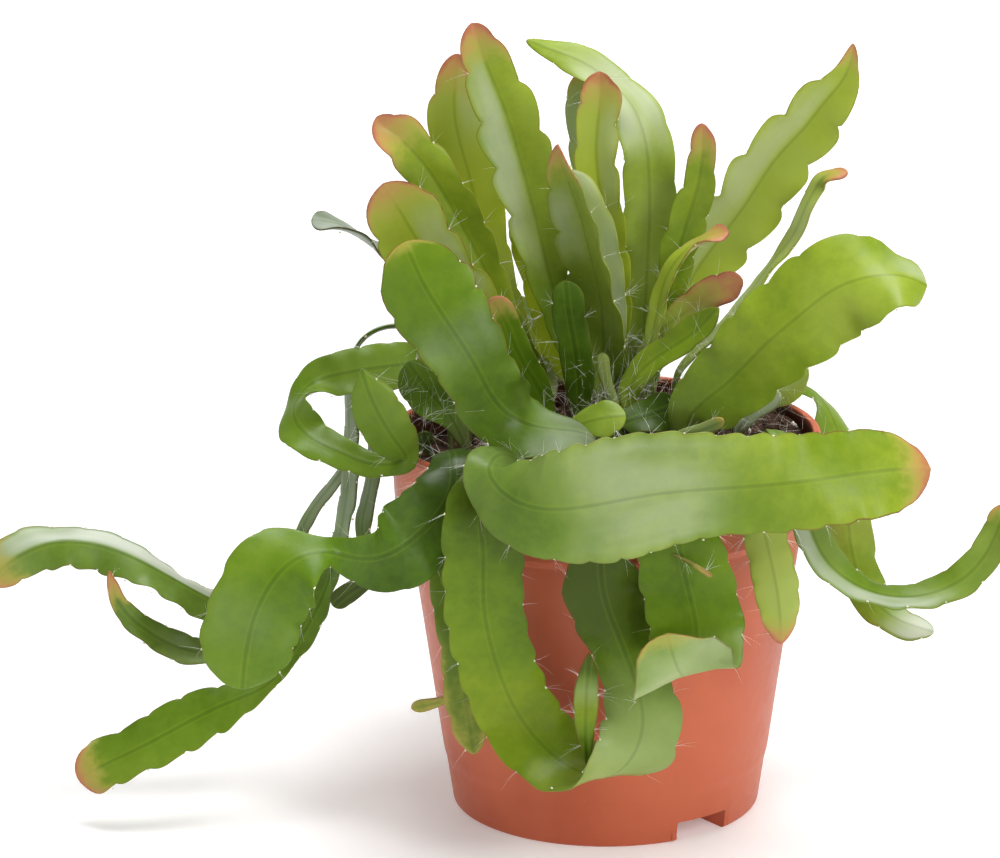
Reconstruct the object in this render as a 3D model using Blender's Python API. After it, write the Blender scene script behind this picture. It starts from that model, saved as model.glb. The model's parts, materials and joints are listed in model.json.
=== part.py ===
"""Potted flat-stemmed cactus: a plastic nursery pot, its soil and forty-seven flat stems.

Lengths below are millimetres. X points right, -Y points to the viewer, Z is up,
and the origin is the middle of the pot's base.
"""
import math
from collections import namedtuple

import bmesh
import bpy
import numpy as np
from mathutils import Matrix

MM = 0.001
GAP = 0.3

POT_HEIGHT = 107.5
RIM_RADIUS = 60.0
COLLAR_BOTTOM_RADIUS = 58.6
COLLAR_BOTTOM = 86.0
SHOULDER_RADIUS = 55.4
SHOULDER_HEIGHT = 83.5
STEP_TOP = 16.0
STEP_BOTTOM = 13.0
STEP_TOP_RADIUS = 45.9
STEP_BOTTOM_RADIUS = 45.1
BASE_RADIUS = 43.2
WALL = 1.5
LIP = 2.2
POT_SIDES = 56

DRAIN_ANGLES = (36.6, 216.6)
DRAIN_WIDTH = 17.0
DRAIN_HEIGHT = 5.8
DRAIN_INNER = 27.0
DRAIN_OUTER = 52.0
HOLE_COUNT = 6
HOLE_RADIUS = 3.5
HOLE_RING = 20.0

SOIL_TOP = 98.0
SOIL_SIDES = 36
SOCKET_RADIUS = 2.7
SOCKET_SIDES = 6
ROOT_DEPTH = 10.0
ROOT_LENGTH = 10.0

RIB_THICKNESS = 2.0
EDGE_THICKNESS = 0.8
TAPER = 35.0
STALK = 0.22
LOBE = 11.5
NOTCH = 0.09
TIP_ROUND = 0.62
TIP_SHARE = 0.11
LEAST_SHARE = 0.2
MOST_SHARE = 1.1
ROOT_SHARE = 0.3
BARE_LENGTH = 24.0
BARE_STATIONS = 3
TIP_STATIONS = (0.55, 0.22, 0.0)
CELLS_ACROSS = 2

COLOURS = {
    "pot": (0.48, 0.17, 0.10),
    "soil": (0.06, 0.035, 0.022),
    "stem": (0.17, 0.32, 0.06),
}

# Where each letter of a facing word points.
WAYS = {
    "L": (-1, 0, 0), "R": (1, 0, 0),
    "F": (0, -1, 0), "B": (0, 1, 0),
    "U": (0, 0, 1), "D": (0, 0, -1),
}

# width: full width. fold: degrees by which the halves rise towards the face.
# root: where it stands in the soil. path: places along the rib with the way that
# the face looks there, and a share of the width where it isn't the full one.
# shoots: smaller stems grown from it, each with a width, a fold and a path.
Stem = namedtuple("Stem", "width fold root path shoots", defaults=[()])

STEMS = {
    "tall_left": Stem(20, 20, (-7, 6), [
        (-5, 6, 114, "F", 0.4), (-9, 7, 129, "F", 0.45), (-14, 8, 145, "F", 0.6),
        (-18, 9, 162, "F", 0.8), (-23, 10, 182, "F"), (-27, 9, 196, "F"),
        (-30, 8, 204, "F", 0.85), (-33, 7, 212, "F", 0.75), (-36, 6, 221, "FU", 0.7)]),
    "tall_left_back": Stem(18.5, 12, (-13, 16), [
        (-17, 20, 115, "F", 0.4), (-22, 22, 127, "F", 0.4), (-28, 24, 143, "F", 0.5),
        (-34, 27, 161, "F", 0.8), (-38, 28, 177, "F"), (-41, 27, 190, "F", 0.9),
        (-41, 26, 200, "F", 0.7), (-40, 25, 209, "FU", 0.55)]),
    "pink_left": Stem(15.5, 20, (-14, 0), [
        (-16, 1, 117, "F", 0.4), (-23, 0, 132, "F", 0.5), (-30, 0, 147, "F", 0.65),
        (-36, -1, 160, "F", 0.9), (-42, -3, 172, "F"), (-49, -5, 184, "F", 0.95),
        (-55, -7, 191, "FFR", 0.95), (-62, -8, 198, "F", 0.9)]),
    "pink_broad": Stem(21.5, 5, (-21, -3), [
        (-19, -4, 118, "F", 0.5), (-29, -7, 131, "F", 0.75), (-38, -10, 144, "F"),
        (-46, -13, 156, "F"), (-53, -16, 169, "F"), (-60, -19, 182, "F")]),
    "shield": Stem(26, -4, (-6, -30), [
        (-5, -36, 115, "FUU", 0.5), (-14, -39, 118, "FUU", 0.82), (-23, -42, 121, "FU", 0.85),
        (-30, -43, 127, "FFU", 0.8), (-35, -43, 136, "FFU", 0.8), (-40, -43, 145, "F", 0.9),
        (-46, -41, 154, "F"), (-51, -39, 163, "F"), (-54, -37, 170, "FFU")]),
    "oval": Stem(12, 4, (-14, -20), [
        (-14, -25, 113, "FU", 0.4), (-8, -27, 116, "FU", 0.8), (-2, -28, 118, "FU"),
        (5, -28, 119, "FU")]),
    "low_right": Stem(13, 0, (14, -14), [
        (4, -14, 112, "FU"), (12, -13, 115, "FU"), (20, -12, 118, "F")]),
    "big_right": Stem(28.5, -5, (25, -14), [
        (23, -21, 117, "FFU", 0.75), (32, -23, 126, "FFU", 0.8), (42, -25, 137, "FFU", 0.92),
        (53, -26, 147, "FFU"), (62, -27, 154, "FFU"), (71, -28, 157, "FU"),
        (79, -28, 157, "FUU"), (86, -26, 154, "FU")]),
    "right_under": Stem(16, 5, (30, 2), [
        (30, 2, 110, "FD"), (38, 3, 114, "FD"), (48, 5, 119, "FFD"), (54, 6, 127, "F")]),
    "upper_right": Stem(22.5, 20, (16, 20), [
        (13, 24, 112, "F", 0.35), (18, 26, 126, "F", 0.4), (25, 29, 143, "F", 0.7),
        (32, 31, 153, "F", 0.9), (41, 32, 165, "F"), (49, 33, 177, "F"),
        (57, 33, 186, "F", 0.9), (63, 32, 194, "F", 0.75), (68, 31, 201, "F", 0.45),
        (70, 30, 210, "F", 0.25)]),
    "tall_center": Stem(15, 4, (9, 16), [
        (9, 18, 113, "F", 0.6), (11, 18, 127, "F", 0.8), (12, 19, 142, "F", 0.9),
        (13, 21, 160, "F"), (13, 22, 174, "F"), (11, 24, 187, "FFR"), (7, 25, 195, "FRU"),
        (1, 26, 201, "FUR", 0.9), (-6, 27, 206, "FU", 0.75), (-14, 28, 209, "FU", 0.5),
        (-21, 28, 212, "FU", 0.3)]),
    "center_orange": Stem(13.5, 22, (0, 13), [
        (2, 14, 115, "F", 0.5), (4, 14, 130, "F", 0.5), (4, 14, 142, "F", 0.65),
        (2, 15, 154, "F", 0.85), (-1, 15, 172, "F", 0.95), (-2, 15, 186, "F"),
        (-1, 14, 197, "F"), (-1, 13, 206, "F")]),
    "center_pale": Stem(11, 10, (4, 7), [
        (3, 7, 118, "F", 0.4), (3, 6, 135, "F", 0.6), (0, 5, 152, "F"), (-4, 5, 168, "F"),
        (-9, 5, 180, "F", 0.7)]),
    "center_back": Stem(12, 5, (-2, 21), [
        (2, 25, 114, "F"), (2, 28, 132, "F"), (1, 29, 150, "F"), (-1, 30, 167, "F"),
        (-4, 30, 185, "F"), (-4, 29, 203, "F")]),
    "center_dark": Stem(21, 22, (1, 1), [
        (0, 1, 117, "F", 0.5), (0, 1, 131, "FFL", 0.9), (-1, 0, 147, "FL"),
        (-4, -2, 160, "FL"), (-7, -4, 172, "FL", 0.9), (-10, -6, 181, "FL", 0.7),
        (-13, -8, 190, "FL", 0.4)]),
    "center_dark_small": Stem(9.5, 8, (-7, -7), [
        (-7, -8, 117, "F"), (-8, -10, 131, "F"), (-10, -11, 143, "F"), (-11, -12, 153, "F")]),
    "center_sprout": Stem(4, 5, (5, -6), [
        (2, -6, 118, "F"), (0, -6, 124, "F"), (-1, -6, 131, "F")]),
    "right_reddish": Stem(12, 20, (16, 10), [
        (13, 12, 115, "F", 0.4), (16, 12, 132, "F", 0.6), (19, 12, 147, "F", 0.85),
        (22, 12, 160, "F"), (25, 12, 170, "F", 0.95), (27, 11, 180, "F", 0.75),
        (27, 9, 192, "F", 0.65)]),
    "pink_narrow": Stem(8, 15, (18, -2), [
        (13, -1, 119, "FL", 0.5), (13, 0, 131, "FL", 0.6), (15, 1, 141, "FL", 0.85),
        (17, 1, 149, "LUF", 0.8), (20, 0, 155, "LUF", 0.8), (25, -1, 160, "UL"),
        (34, -3, 164, "UF")]),
    "pink_right": Stem(9.5, 8, (10, 4), [
        (9, 4, 117, "F", 0.35), (12, 4, 130, "FFU", 0.5), (18, 3, 137, "FFU", 0.75),
        (24, 3, 141, "FFU"), (30, 1, 146, "FFU"), (38, 0, 150, "F")]),
    "green_right_low": Stem(8.5, 14, (12, -6), [
        (7, -6, 121, "FU"), (14, -6, 129, "FU"), (21, -7, 134, "FU"), (26, -7, 138, "FU"),
        (31, -8, 144, "FU", 0.5)]),
    "edge_right": Stem(6, 5, (26, 12), [
        (21, 16, 119, "LLUUF", 0.7), (27, 17, 126, "LLUUF", 0.7), (35, 18, 134, "LLUUF", 0.7),
        (42, 19, 142, "LLUUF", 0.8), (48, 20, 150, "LLUUF", 0.8), (53, 20, 157, "LUFF", 0.8),
        (57, 20, 166, "LUFF", 0.75), (60, 20, 172, "UFF", 0.8), (63, 18, 175, "FUU"),
        (68, 17, 176, "FUU")]),
    "grey_left": Stem(13, 3, (-30, 20), [
        (-29, 26, 113, "UF"), (-38, 30, 124, "UF"), (-49, 33, 137, "U"), (-61, 35, 149, "U"),
        (-72, 35, 157, "U"), (-82, 34, 160, "UF")]),
    "small_red": Stem(8, 8, (-15, -11), [
        (-18, -13, 122, "F"), (-24, -16, 134, "F"), (-27, -17, 142, "F"), (-31, -18, 150, "F")]),
    "grey_sliver": Stem(10, 5, (-20, 32), [
        (-15, 40, 108, "F"), (-19, 42, 117, "F"), (-22, 43, 126, "F"), (-23, 44, 135, "F")]),
    "peek_left": Stem(11, 5, (-9, 24), [
        (-6, 28, 110, "F"), (-12, 33, 121, "F"), (-16, 36, 136, "F"), (-19, 37, 147, "F"),
        (-23, 37, 160, "F")]),
    "trail_low": Stem(17, 4, (-38, 10), [
        (-40, 12, 121, "UUF", 0.5), (-48, 12, 130, "UUF", 0.4), (-59, 10, 135, "UUL", 0.35),
        (-67, 8, 132, "LLU", 0.35), (-71, 4, 115, "LLF", 0.35), (-71, 0, 96, "LF", 0.4),
        (-74, -4, 77, "LF", 0.45), (-79, -8, 61, "LF", 0.45), (-86, -12, 49, "LF", 0.45),
        (-95, -16, 38, "LUF", 0.35), (-103, -18, 35, "FU", 0.7), (-115, -20, 30, "FU"),
        (-127, -22, 24, "FU"), (-139, -22, 18, "FU"), (-148, -22, 14, "F")]),
    "trail_mid": Stem(6, 4, (-43, 3), [
        (-47, 4, 120, "UL"), (-54, 4, 127, "UL"), (-61, 0, 121, "LU"), (-64, -8, 107, "LF"),
        (-65, -12, 94, "LF"), (-67, -14, 82, "LF"), (-66, -15, 70, "F", 0.8),
        (-71, -16, 66, "F"), (-76, -17, 62, "F")]),
    "trail_far": Stem(14.5, -16, (-38, 18), [
        (-39, 22, 115, "UF", 0.5), (-50, 22, 123, "UF", 0.4), (-63, 20, 122, "UL", 0.35),
        (-70, 16, 109, "LU", 0.3), (-73, 13, 94, "LF", 0.3), (-81, 12, 83, "LF", 0.3),
        (-87, 12, 72, "LF", 0.3), (-96, 12, 58, "LFU", 0.4), (-104, 10, 53, "UF", 0.7),
        (-112, 8, 56, "UUF"), (-126, 6, 65, "UUF"), (-141, 4, 73, "UF"), (-154, 2, 75, "FU"),
        (-166, 0, 71, "F"), (-174, -2, 65, "F")], [
        (10, 14, [(-95, 11, 58, "F", 0.5), (-104, 8, 46, "F"), (-113, 6, 41, "FU"),
                  (-123, 4, 44, "FU"), (-131, 2, 50, "FU", 0.8), (-137, 0, 59, "F", 0.5),
                  (-139, -2, 68, "F", 0.25)])]),
    "loop_left": Stem(14, 4, (-38, -7), [
        (-47, -4, 127, "F", 0.6), (-59, -7, 128, "FFU"), (-71, -10, 127, "FFU", 0.95),
        (-80, -14, 125, "FL", 0.85), (-85, -20, 119, "FL", 0.9), (-82, -26, 114, "FU", 0.9),
        (-73, -30, 110, "FU", 0.7), (-62, -33, 107, "FU", 0.5), (-55, -35, 109, "FU", 0.5),
        (-57, -38, 115, "F", 0.9), (-61, -39, 122, "F"), (-64, -40, 129, "F", 0.8),
        (-66, -40, 136, "F", 0.25)]),
    "shade_upper": Stem(15, 5, (-37, -15), [
        (-45, -17, 119, "FU"), (-49, -19, 125, "F"), (-54, -21, 133, "F")]),
    "shade_lower": Stem(9, 5, (-44, -17), [
        (-49, -28, 111, "FU"), (-50, -31, 116, "F")]),
    "behind_strap": Stem(12, 4, (-33, -30), [
        (-43, -46, 110, "U", 0.5), (-43, -53, 102, "F", 0.8), (-43, -52, 88, "F"),
        (-42, -50, 73, "F"), (-40, -48, 58, "F"), (-39, -46, 44, "F"),
        (-37, -44, 28, "F", 0.6)], [
        (8, 4, [(-39, -46, 47, "F", 0.6), (-46, -43, 43, "F"), (-54, -40, 40, "F")])]),
    "front_strap": Stem(22, 6, (-27, -37), [
        (-28, -50, 110, "U", 0.4), (-30, -59, 111, "UF", 0.6), (-34, -67, 105, "F", 0.9),
        (-34, -68, 94, "F"), (-34, -66, 80, "F"), (-31, -61, 61, "F"), (-25, -59, 45, "F"),
        (-16, -62, 34, "FU"), (-6, -68, 30, "U"), (3, -73, 35, "UB"), (8, -73, 46, "B"),
        (6, -70, 58, "B", 0.85), (2, -68, 69, "B", 0.85), (-2, -68, 81, "B"),
        (-3, -69, 95, "B")], [
        (10, 20, [(-6, -68, 31, "FU", 0.6), (-7, -72, 42, "F"), (-7, -74, 54, "F", 0.9),
                  (-6, -74, 67, "F", 0.25)])]),
    "bright_hang": Stem(32, -3, (18, -38), [
        (17, -55, 115, "U", 0.42), (17, -63, 110, "UF", 0.68), (17, -70, 103, "F", 0.7),
        (18, -72, 94, "F", 0.74), (20, -72, 84, "F", 0.8), (22, -74, 75, "F", 0.8),
        (22, -77, 67, "FUL", 0.88), (19, -82, 63.5, "UUL"), (16, -87, 68, "UBL"), (14, -89, 77, "BBU")], [
        (3.5, 0, [(14, -71, 94, "F"), (20, -75, 92, "F"), (26, -78, 89, "F")])]),
    "front_sweep": Stem(33, -6, (-19, -39), [
        (-19, -47, 108, "UF", 0.3), (-23, -55, 113, "UF", 0.3), (-29, -63, 118, "UF", 0.3),
        (-32, -72, 117, "F", 0.45), (-27, -80, 112, "F", 0.7), (-19, -84, 110, "F", 0.88),
        (-7, -86, 111, "F"), (10, -86, 114, "F"), (33, -83, 115, "F", 0.85),
        (57, -76, 115, "FFU", 0.78), (74, -69, 115, "FFU", 0.78), (84, -65, 114, "FFU", 0.8)]),
    "right_short": Stem(12, -3, (34, -28), [
        (36, -47, 114, "U", 0.6), (39, -56, 103, "FU"), (42, -57, 90, "F"), (45, -55, 75, "F"),
        (46, -53, 62, "F", 0.5)]),
    "right_long": Stem(10, 12, (42, -14), [
        (46, -38, 115, "U", 0.6), (52, -46, 99, "UF"), (59, -46, 82, "UF"),
        (70, -46, 74, "UUF"), (85, -44, 72, "UUF"), (98, -42, 78, "UF"), (105, -40, 88, "FUL"),
        (108, -38, 96, "FL")]),
    "right_back_hang": Stem(14, -4, (36, 16), [
        (49, 23, 112, "U", 0.6), (59, 28, 110.5, "UR", 0.7), (66, 27, 100, "RF"),
        (69, 21, 87, "F"), (70, 16, 70, "F"), (74, 12, 57, "F", 0.85), (82, 8, 49, "FU", 0.75),
        (93, 4, 46, "UF", 0.6)]),
    "cape_left": Stem(26, 3, (-38, -23), [
        (-43, -38, 111, "FU", 0.35), (-42, -48, 114, "FU", 0.45), (-42, -55, 108, "F", 0.7),
        (-50, -60, 97, "F", 0.9), (-60, -66, 92, "F", 0.8), (-68, -71, 93, "F", 0.5),
        (-75, -74, 95, "FU", 0.35), (-83, -77, 94, "FU", 0.85), (-91, -79, 86, "F"),
        (-96, -79, 72, "F"), (-98, -75, 58, "FD", 0.9)]),
    "blue_strap": Stem(8, 3, (40, -3), [
        (37, -7, 109, "UF"), (41, -8, 114, "UF"), (48, -9, 120, "UF")]),
    "dried_tip": Stem(4, 3, (19, -28), [
        (19, -34, 115, "F"), (25, -35, 117, "F"), (31, -36, 120, "F")]),
    "back_a": Stem(15, 4, (-27, 33), [
        (-37, 50, 112, "U", 0.6), (-43, 63, 102, "BU"), (-46, 68, 80, "B"), (-46, 66, 55, "B"),
        (-42, 60, 34, "B")]),
    "back_b": Stem(17, -4, (-8, 40), [
        (-11, 56, 113, "U", 0.6), (-13, 68, 103, "BU"), (-16, 71, 80, "B"), (-21, 73, 58, "B"),
        (-27, 78, 42, "B")]),
    "back_c": Stem(14, 14, (6, 38), [
        (7, 56, 114, "U", 0.6), (9, 70, 108, "BU"), (12, 78, 92, "B"), (16, 82, 72, "B"),
        (22, 85, 54, "B")]),
    "back_d": Stem(16, 5, (22, 36), [
        (31, 52, 113, "U", 0.6), (38, 64, 105, "BU"), (43, 70, 86, "B"), (45, 68, 62, "B"),
        (43, 62, 44, "B")]),
    "back_e": Stem(13, 8, (-17, 40), [
        (-25, 54, 117, "U", 0.6), (-30, 70, 112, "UB"), (-33, 84, 98, "B"), (-33, 90, 80, "B"),
        (-29, 92, 66, "B")]),
}


def clear_scene():
    for thing in list(bpy.data.objects):
        bpy.data.objects.remove(thing)


def plain_material(name, colour, roughness):
    made = bpy.data.materials.new(name)
    made.use_nodes = True
    shader = made.node_tree.nodes["Principled BSDF"]
    shader.inputs["Base Color"].default_value = (*colour, 1.0)
    shader.inputs["Roughness"].default_value = roughness
    shader.inputs["Metallic"].default_value = 0.0
    return made


def make_object(name, bm, colour, roughness):
    """Turns the shape into a named object of its own material, in metres."""
    bmesh.ops.recalc_face_normals(bm, faces=bm.faces)
    bmesh.ops.scale(bm, vec=(MM, MM, MM), verts=bm.verts)
    mesh = bpy.data.meshes.new(name)
    bm.to_mesh(mesh)
    bm.free()
    thing = bpy.data.objects.new(name, mesh)
    bpy.context.scene.collection.objects.link(thing)
    thing.data.materials.append(plain_material(name, colour, roughness))
    return thing


def apply_boolean(thing, cutters, operation):
    """Joins the cutters to the thing or cuts them from it, then removes them."""
    group = bpy.data.collections.new(thing.name + "_cutters")
    bpy.context.scene.collection.children.link(group)
    for cutter in cutters:
        bpy.context.scene.collection.objects.unlink(cutter)
        group.objects.link(cutter)
    step = thing.modifiers.new(operation.lower(), "BOOLEAN")
    step.operation = operation
    step.operand_type = "COLLECTION"
    step.collection = group
    step.solver = "EXACT"
    bpy.context.view_layer.update()
    seen = thing.evaluated_get(bpy.context.evaluated_depsgraph_get())
    mesh = bpy.data.meshes.new_from_object(seen)
    thing.modifiers.clear()
    thing.data = mesh
    for cutter in cutters:
        bpy.data.objects.remove(cutter)
    bpy.data.collections.remove(group)


def spun(profile, sides):
    """A closed shape of revolution about Z from (radius, height) points, both ends on the axis."""
    bm = bmesh.new()
    points = [bm.verts.new((radius, 0.0, height)) for radius, height in profile]
    edges = [bm.edges.new(pair) for pair in zip(points, points[1:])]
    bmesh.ops.spin(bm, geom=points + edges, cent=(0, 0, 0), axis=(0, 0, 1),
                   angle=math.tau, steps=sides, use_merge=True)
    bmesh.ops.remove_doubles(bm, verts=bm.verts, dist=0.001)
    return bm


def upright_block(name, angle, near, far, width, bottom, top):
    """A box whose long side runs outward from the axis, turned by the angle from the front."""
    bm = bmesh.new()
    bmesh.ops.create_cube(bm, size=1.0)
    bmesh.ops.scale(bm, vec=(width, far - near, top - bottom), verts=bm.verts)
    bmesh.ops.translate(bm, vec=(0, -(near + far) / 2, (bottom + top) / 2), verts=bm.verts)
    bmesh.ops.rotate(bm, cent=(0, 0, 0), verts=bm.verts,
                     matrix=Matrix.Rotation(math.radians(angle), 3, "Z"))
    return make_object(name, bm, COLOURS["pot"], 0.5)


def upright_rod(name, x, y, radius, bottom, top, sides):
    bm = bmesh.new()
    bmesh.ops.create_cone(bm, cap_ends=True, segments=sides, radius1=radius, radius2=radius,
                          depth=top - bottom)
    bmesh.ops.translate(bm, vec=(x, y, (bottom + top) / 2), verts=bm.verts)
    return make_object(name, bm, COLOURS["soil"], 0.9)


def outer_wall_radius(height):
    """Radius of the pot's wall below its collar."""
    share = (height - STEP_TOP) / (SHOULDER_HEIGHT - STEP_TOP)
    return STEP_TOP_RADIUS + (SHOULDER_RADIUS - STEP_TOP_RADIUS) * share


def make_pot():
    outside = [
        (0.0, 0.0), (BASE_RADIUS - 0.8, 0.0), (BASE_RADIUS, 0.8),
        (STEP_BOTTOM_RADIUS, STEP_BOTTOM), (STEP_TOP_RADIUS, STEP_TOP),
        (SHOULDER_RADIUS, SHOULDER_HEIGHT), (COLLAR_BOTTOM_RADIUS, COLLAR_BOTTOM),
        (RIM_RADIUS - 0.5, POT_HEIGHT - 3.0), (RIM_RADIUS, POT_HEIGHT - 2.0),
        (RIM_RADIUS - 0.4, POT_HEIGHT - 0.3), (RIM_RADIUS - 1.0, POT_HEIGHT)]
    inside = [
        (RIM_RADIUS - LIP, POT_HEIGHT), (RIM_RADIUS - LIP - 0.3, POT_HEIGHT - 2.0),
        (COLLAR_BOTTOM_RADIUS - WALL, COLLAR_BOTTOM + 1.0),
        (SHOULDER_RADIUS - WALL, SHOULDER_HEIGHT + 1.0),
        (STEP_TOP_RADIUS - WALL, STEP_TOP), (BASE_RADIUS - WALL, WALL), (0.0, WALL)]
    pot = make_object("pot", spun(outside + inside, POT_SIDES), COLOURS["pot"], 0.42)
    covers = [upright_block("cover", angle, DRAIN_INNER - WALL, BASE_RADIUS - 0.5,
                            DRAIN_WIDTH + 2 * WALL, WALL / 2, DRAIN_HEIGHT + WALL)
              for angle in DRAIN_ANGLES]
    apply_boolean(pot, covers, "UNION")
    cutters = [upright_block("channel", angle, DRAIN_INNER, DRAIN_OUTER,
                             DRAIN_WIDTH, -2.0, DRAIN_HEIGHT)
               for angle in DRAIN_ANGLES]
    for index in range(HOLE_COUNT):
        turn = math.tau * (index + 0.5) / HOLE_COUNT
        cutters.append(upright_rod("hole", HOLE_RING * math.cos(turn), HOLE_RING * math.sin(turn),
                                   HOLE_RADIUS, -2.0, 2 * WALL, 12))
    apply_boolean(pot, cutters, "DIFFERENCE")
    return pot


def make_soil(pot_floor):
    """The root ball, with one plain hole for each stem."""
    reach = outer_wall_radius(SHOULDER_HEIGHT) - WALL - GAP
    top_reach = COLLAR_BOTTOM_RADIUS - WALL - GAP
    profile = [
        (0.0, pot_floor + GAP), (BASE_RADIUS - WALL - GAP, pot_floor + GAP),
        (STEP_TOP_RADIUS - WALL - GAP, STEP_TOP), (reach, SHOULDER_HEIGHT + 1.0),
        (top_reach, COLLAR_BOTTOM + 1.5), (top_reach, SOIL_TOP - 2.0),
        (top_reach - 2.5, SOIL_TOP), (0.0, SOIL_TOP)]
    soil = make_object("soil", spun(profile, SOIL_SIDES), COLOURS["soil"], 0.95)
    cutters = [upright_block("relief", angle, DRAIN_INNER - WALL - GAP, BASE_RADIUS + 5.0,
                             DRAIN_WIDTH + 2 * (WALL + GAP), 0.0, DRAIN_HEIGHT + WALL + GAP)
               for angle in DRAIN_ANGLES]
    for stem in STEMS.values():
        cutters.append(upright_rod("socket", *stem.root, SOCKET_RADIUS,
                                   SOIL_TOP - ROOT_DEPTH - GAP, SOIL_TOP + 5.0, SOCKET_SIDES))
    apply_boolean(soil, cutters, "DIFFERENCE")
    return soil


def way(word):
    """Unit vector of a facing word."""
    total = np.sum([WAYS[letter] for letter in word], axis=0).astype(float)
    return total / np.linalg.norm(total)


def knots_of(path, root):
    """Rows of place, facing and width share, with the root below the first place."""
    rows = [[x, y, z, *way(word), *(share or (1.0,))] for x, y, z, word, *share in path]
    if root is not None:
        facing = rows[0][3:6]
        rows[:0] = [[*root, SOIL_TOP - ROOT_DEPTH, *facing, ROOT_SHARE],
                    [*root, SOIL_TOP, *facing, ROOT_SHARE]]
    return np.array(rows)


def smooth_rows(knots, distances):
    """Natural cubic curve through the knots, read at distances along their chords."""
    steps = np.linalg.norm(np.diff(knots[:, :3], axis=0), axis=1)
    marks = np.concatenate([[0.0], np.cumsum(steps)])
    count = len(knots)
    left = np.eye(count)
    right = np.zeros_like(knots)
    for i in range(1, count - 1):
        left[i, i - 1:i + 2] = steps[i - 1], 2 * (steps[i - 1] + steps[i]), steps[i]
        right[i] = 6 * ((knots[i + 1] - knots[i]) / steps[i]
                        - (knots[i] - knots[i - 1]) / steps[i - 1])
    bends = np.linalg.solve(left, right)
    index = np.clip(np.searchsorted(marks, distances, side="right") - 1, 0, count - 2)
    span = steps[index][:, None]
    after = (distances[:, None] - marks[index][:, None]) / span
    before = 1 - after
    cubic = (before ** 3 - before) * bends[index] + (after ** 3 - after) * bends[index + 1]
    return before * knots[index] + after * knots[index + 1] + cubic * span ** 2 / 6


def unit(rows):
    return rows / np.linalg.norm(rows, axis=1)[:, None]


def blade_rows(width, knots, bare):
    """Places, directions and both half widths at each station of a stem."""
    length = np.linalg.norm(np.diff(knots[:, :3], axis=0), axis=1).sum()
    round_end = TIP_ROUND * width
    lobes = max(1, round((length - bare - round_end) / LOBE))
    lobed = np.linspace(bare, length - round_end, 2 * lobes + 1)
    start = np.linspace(0.0, bare, BARE_STATIONS, endpoint=False) if bare else lobed[:0]
    end = length - round_end * np.array(TIP_STATIONS)
    distances = np.concatenate([start, lobed, end])
    rows = smooth_rows(knots, distances)
    ahead = unit(np.gradient(rows[:, :3], axis=0))
    facing = unit(rows[:, 3:6] - (rows[:, 3:6] * ahead).sum(axis=1)[:, None] * ahead)
    across = np.cross(ahead, facing)
    grown = np.clip((distances - (ROOT_LENGTH if bare else 0.0)) / TAPER, 0.0, 1.0)
    grown = STALK + (1 - STALK) * grown ** 2 * (3 - 2 * grown)
    left_in = np.clip((length - distances) / round_end, 0.0, 1.0)
    rounded = np.sqrt(1 - (1 - left_in) ** 2)
    share = np.clip(rows[:, 6], LEAST_SHARE, MOST_SHARE)
    half = width / 2 * np.maximum(grown * rounded * share, TIP_SHARE)
    notched = np.zeros((2, len(distances)))
    first = len(start)
    notched[0, first:first + len(lobed):2] = NOTCH
    notched[1, first + 1:first + len(lobed):2] = NOTCH
    return rows[:, :3], facing, across, half * (1 - notched[0]), half * (1 - notched[1])


def blade(stem_width, fold, path, root):
    """A thin closed blade: a grid bent along the path, given its thickness by an extrusion."""
    bare = BARE_LENGTH if root is not None else 0.0
    places, facing, across, left, right = blade_rows(stem_width, knots_of(path, root), bare)
    last = len(places) - 1
    bm = bmesh.new()
    bmesh.ops.create_grid(bm, x_segments=CELLS_ACROSS, y_segments=last, size=1.0)
    bmesh.ops.triangulate(bm, faces=bm.faces, quad_method="FIXED")
    made = bmesh.ops.extrude_face_region(bm, geom=bm.faces[:])
    upper = {item for item in made["geom"] if isinstance(item, bmesh.types.BMVert)}
    lean = math.radians(fold)
    for vert in bm.verts:
        station = round((vert.co.y + 1) / 2 * last)
        side = vert.co.x
        half = left[station] if side < 0 else right[station]
        thickness = RIB_THICKNESS + (EDGE_THICKNESS - RIB_THICKNESS) * abs(side)
        lift = thickness / 2 if vert in upper else -thickness / 2
        lift += abs(side) * half * math.sin(lean)
        vert.co = (places[station] + across[station] * side * half * math.cos(lean)
                   + facing[station] * lift)
    return bm


def make_stem(name, stem):
    thing = make_object("stem_" + name, blade(stem.width, stem.fold, stem.path, stem.root),
                        COLOURS["stem"], 0.45)
    shoots = [make_object("shoot", blade(width, fold, path, None), COLOURS["stem"], 0.45)
              for width, fold, path in stem.shoots]
    if shoots:
        apply_boolean(thing, shoots, "UNION")
    return thing


clear_scene()
make_pot()
make_soil(WALL)
for stem_name, stem_values in STEMS.items():
    make_stem(stem_name, stem_values)
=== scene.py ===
import json
import math
from collections import namedtuple

import bmesh
import bpy
import numpy as np
from mathutils import Matrix, Vector, noise

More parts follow.
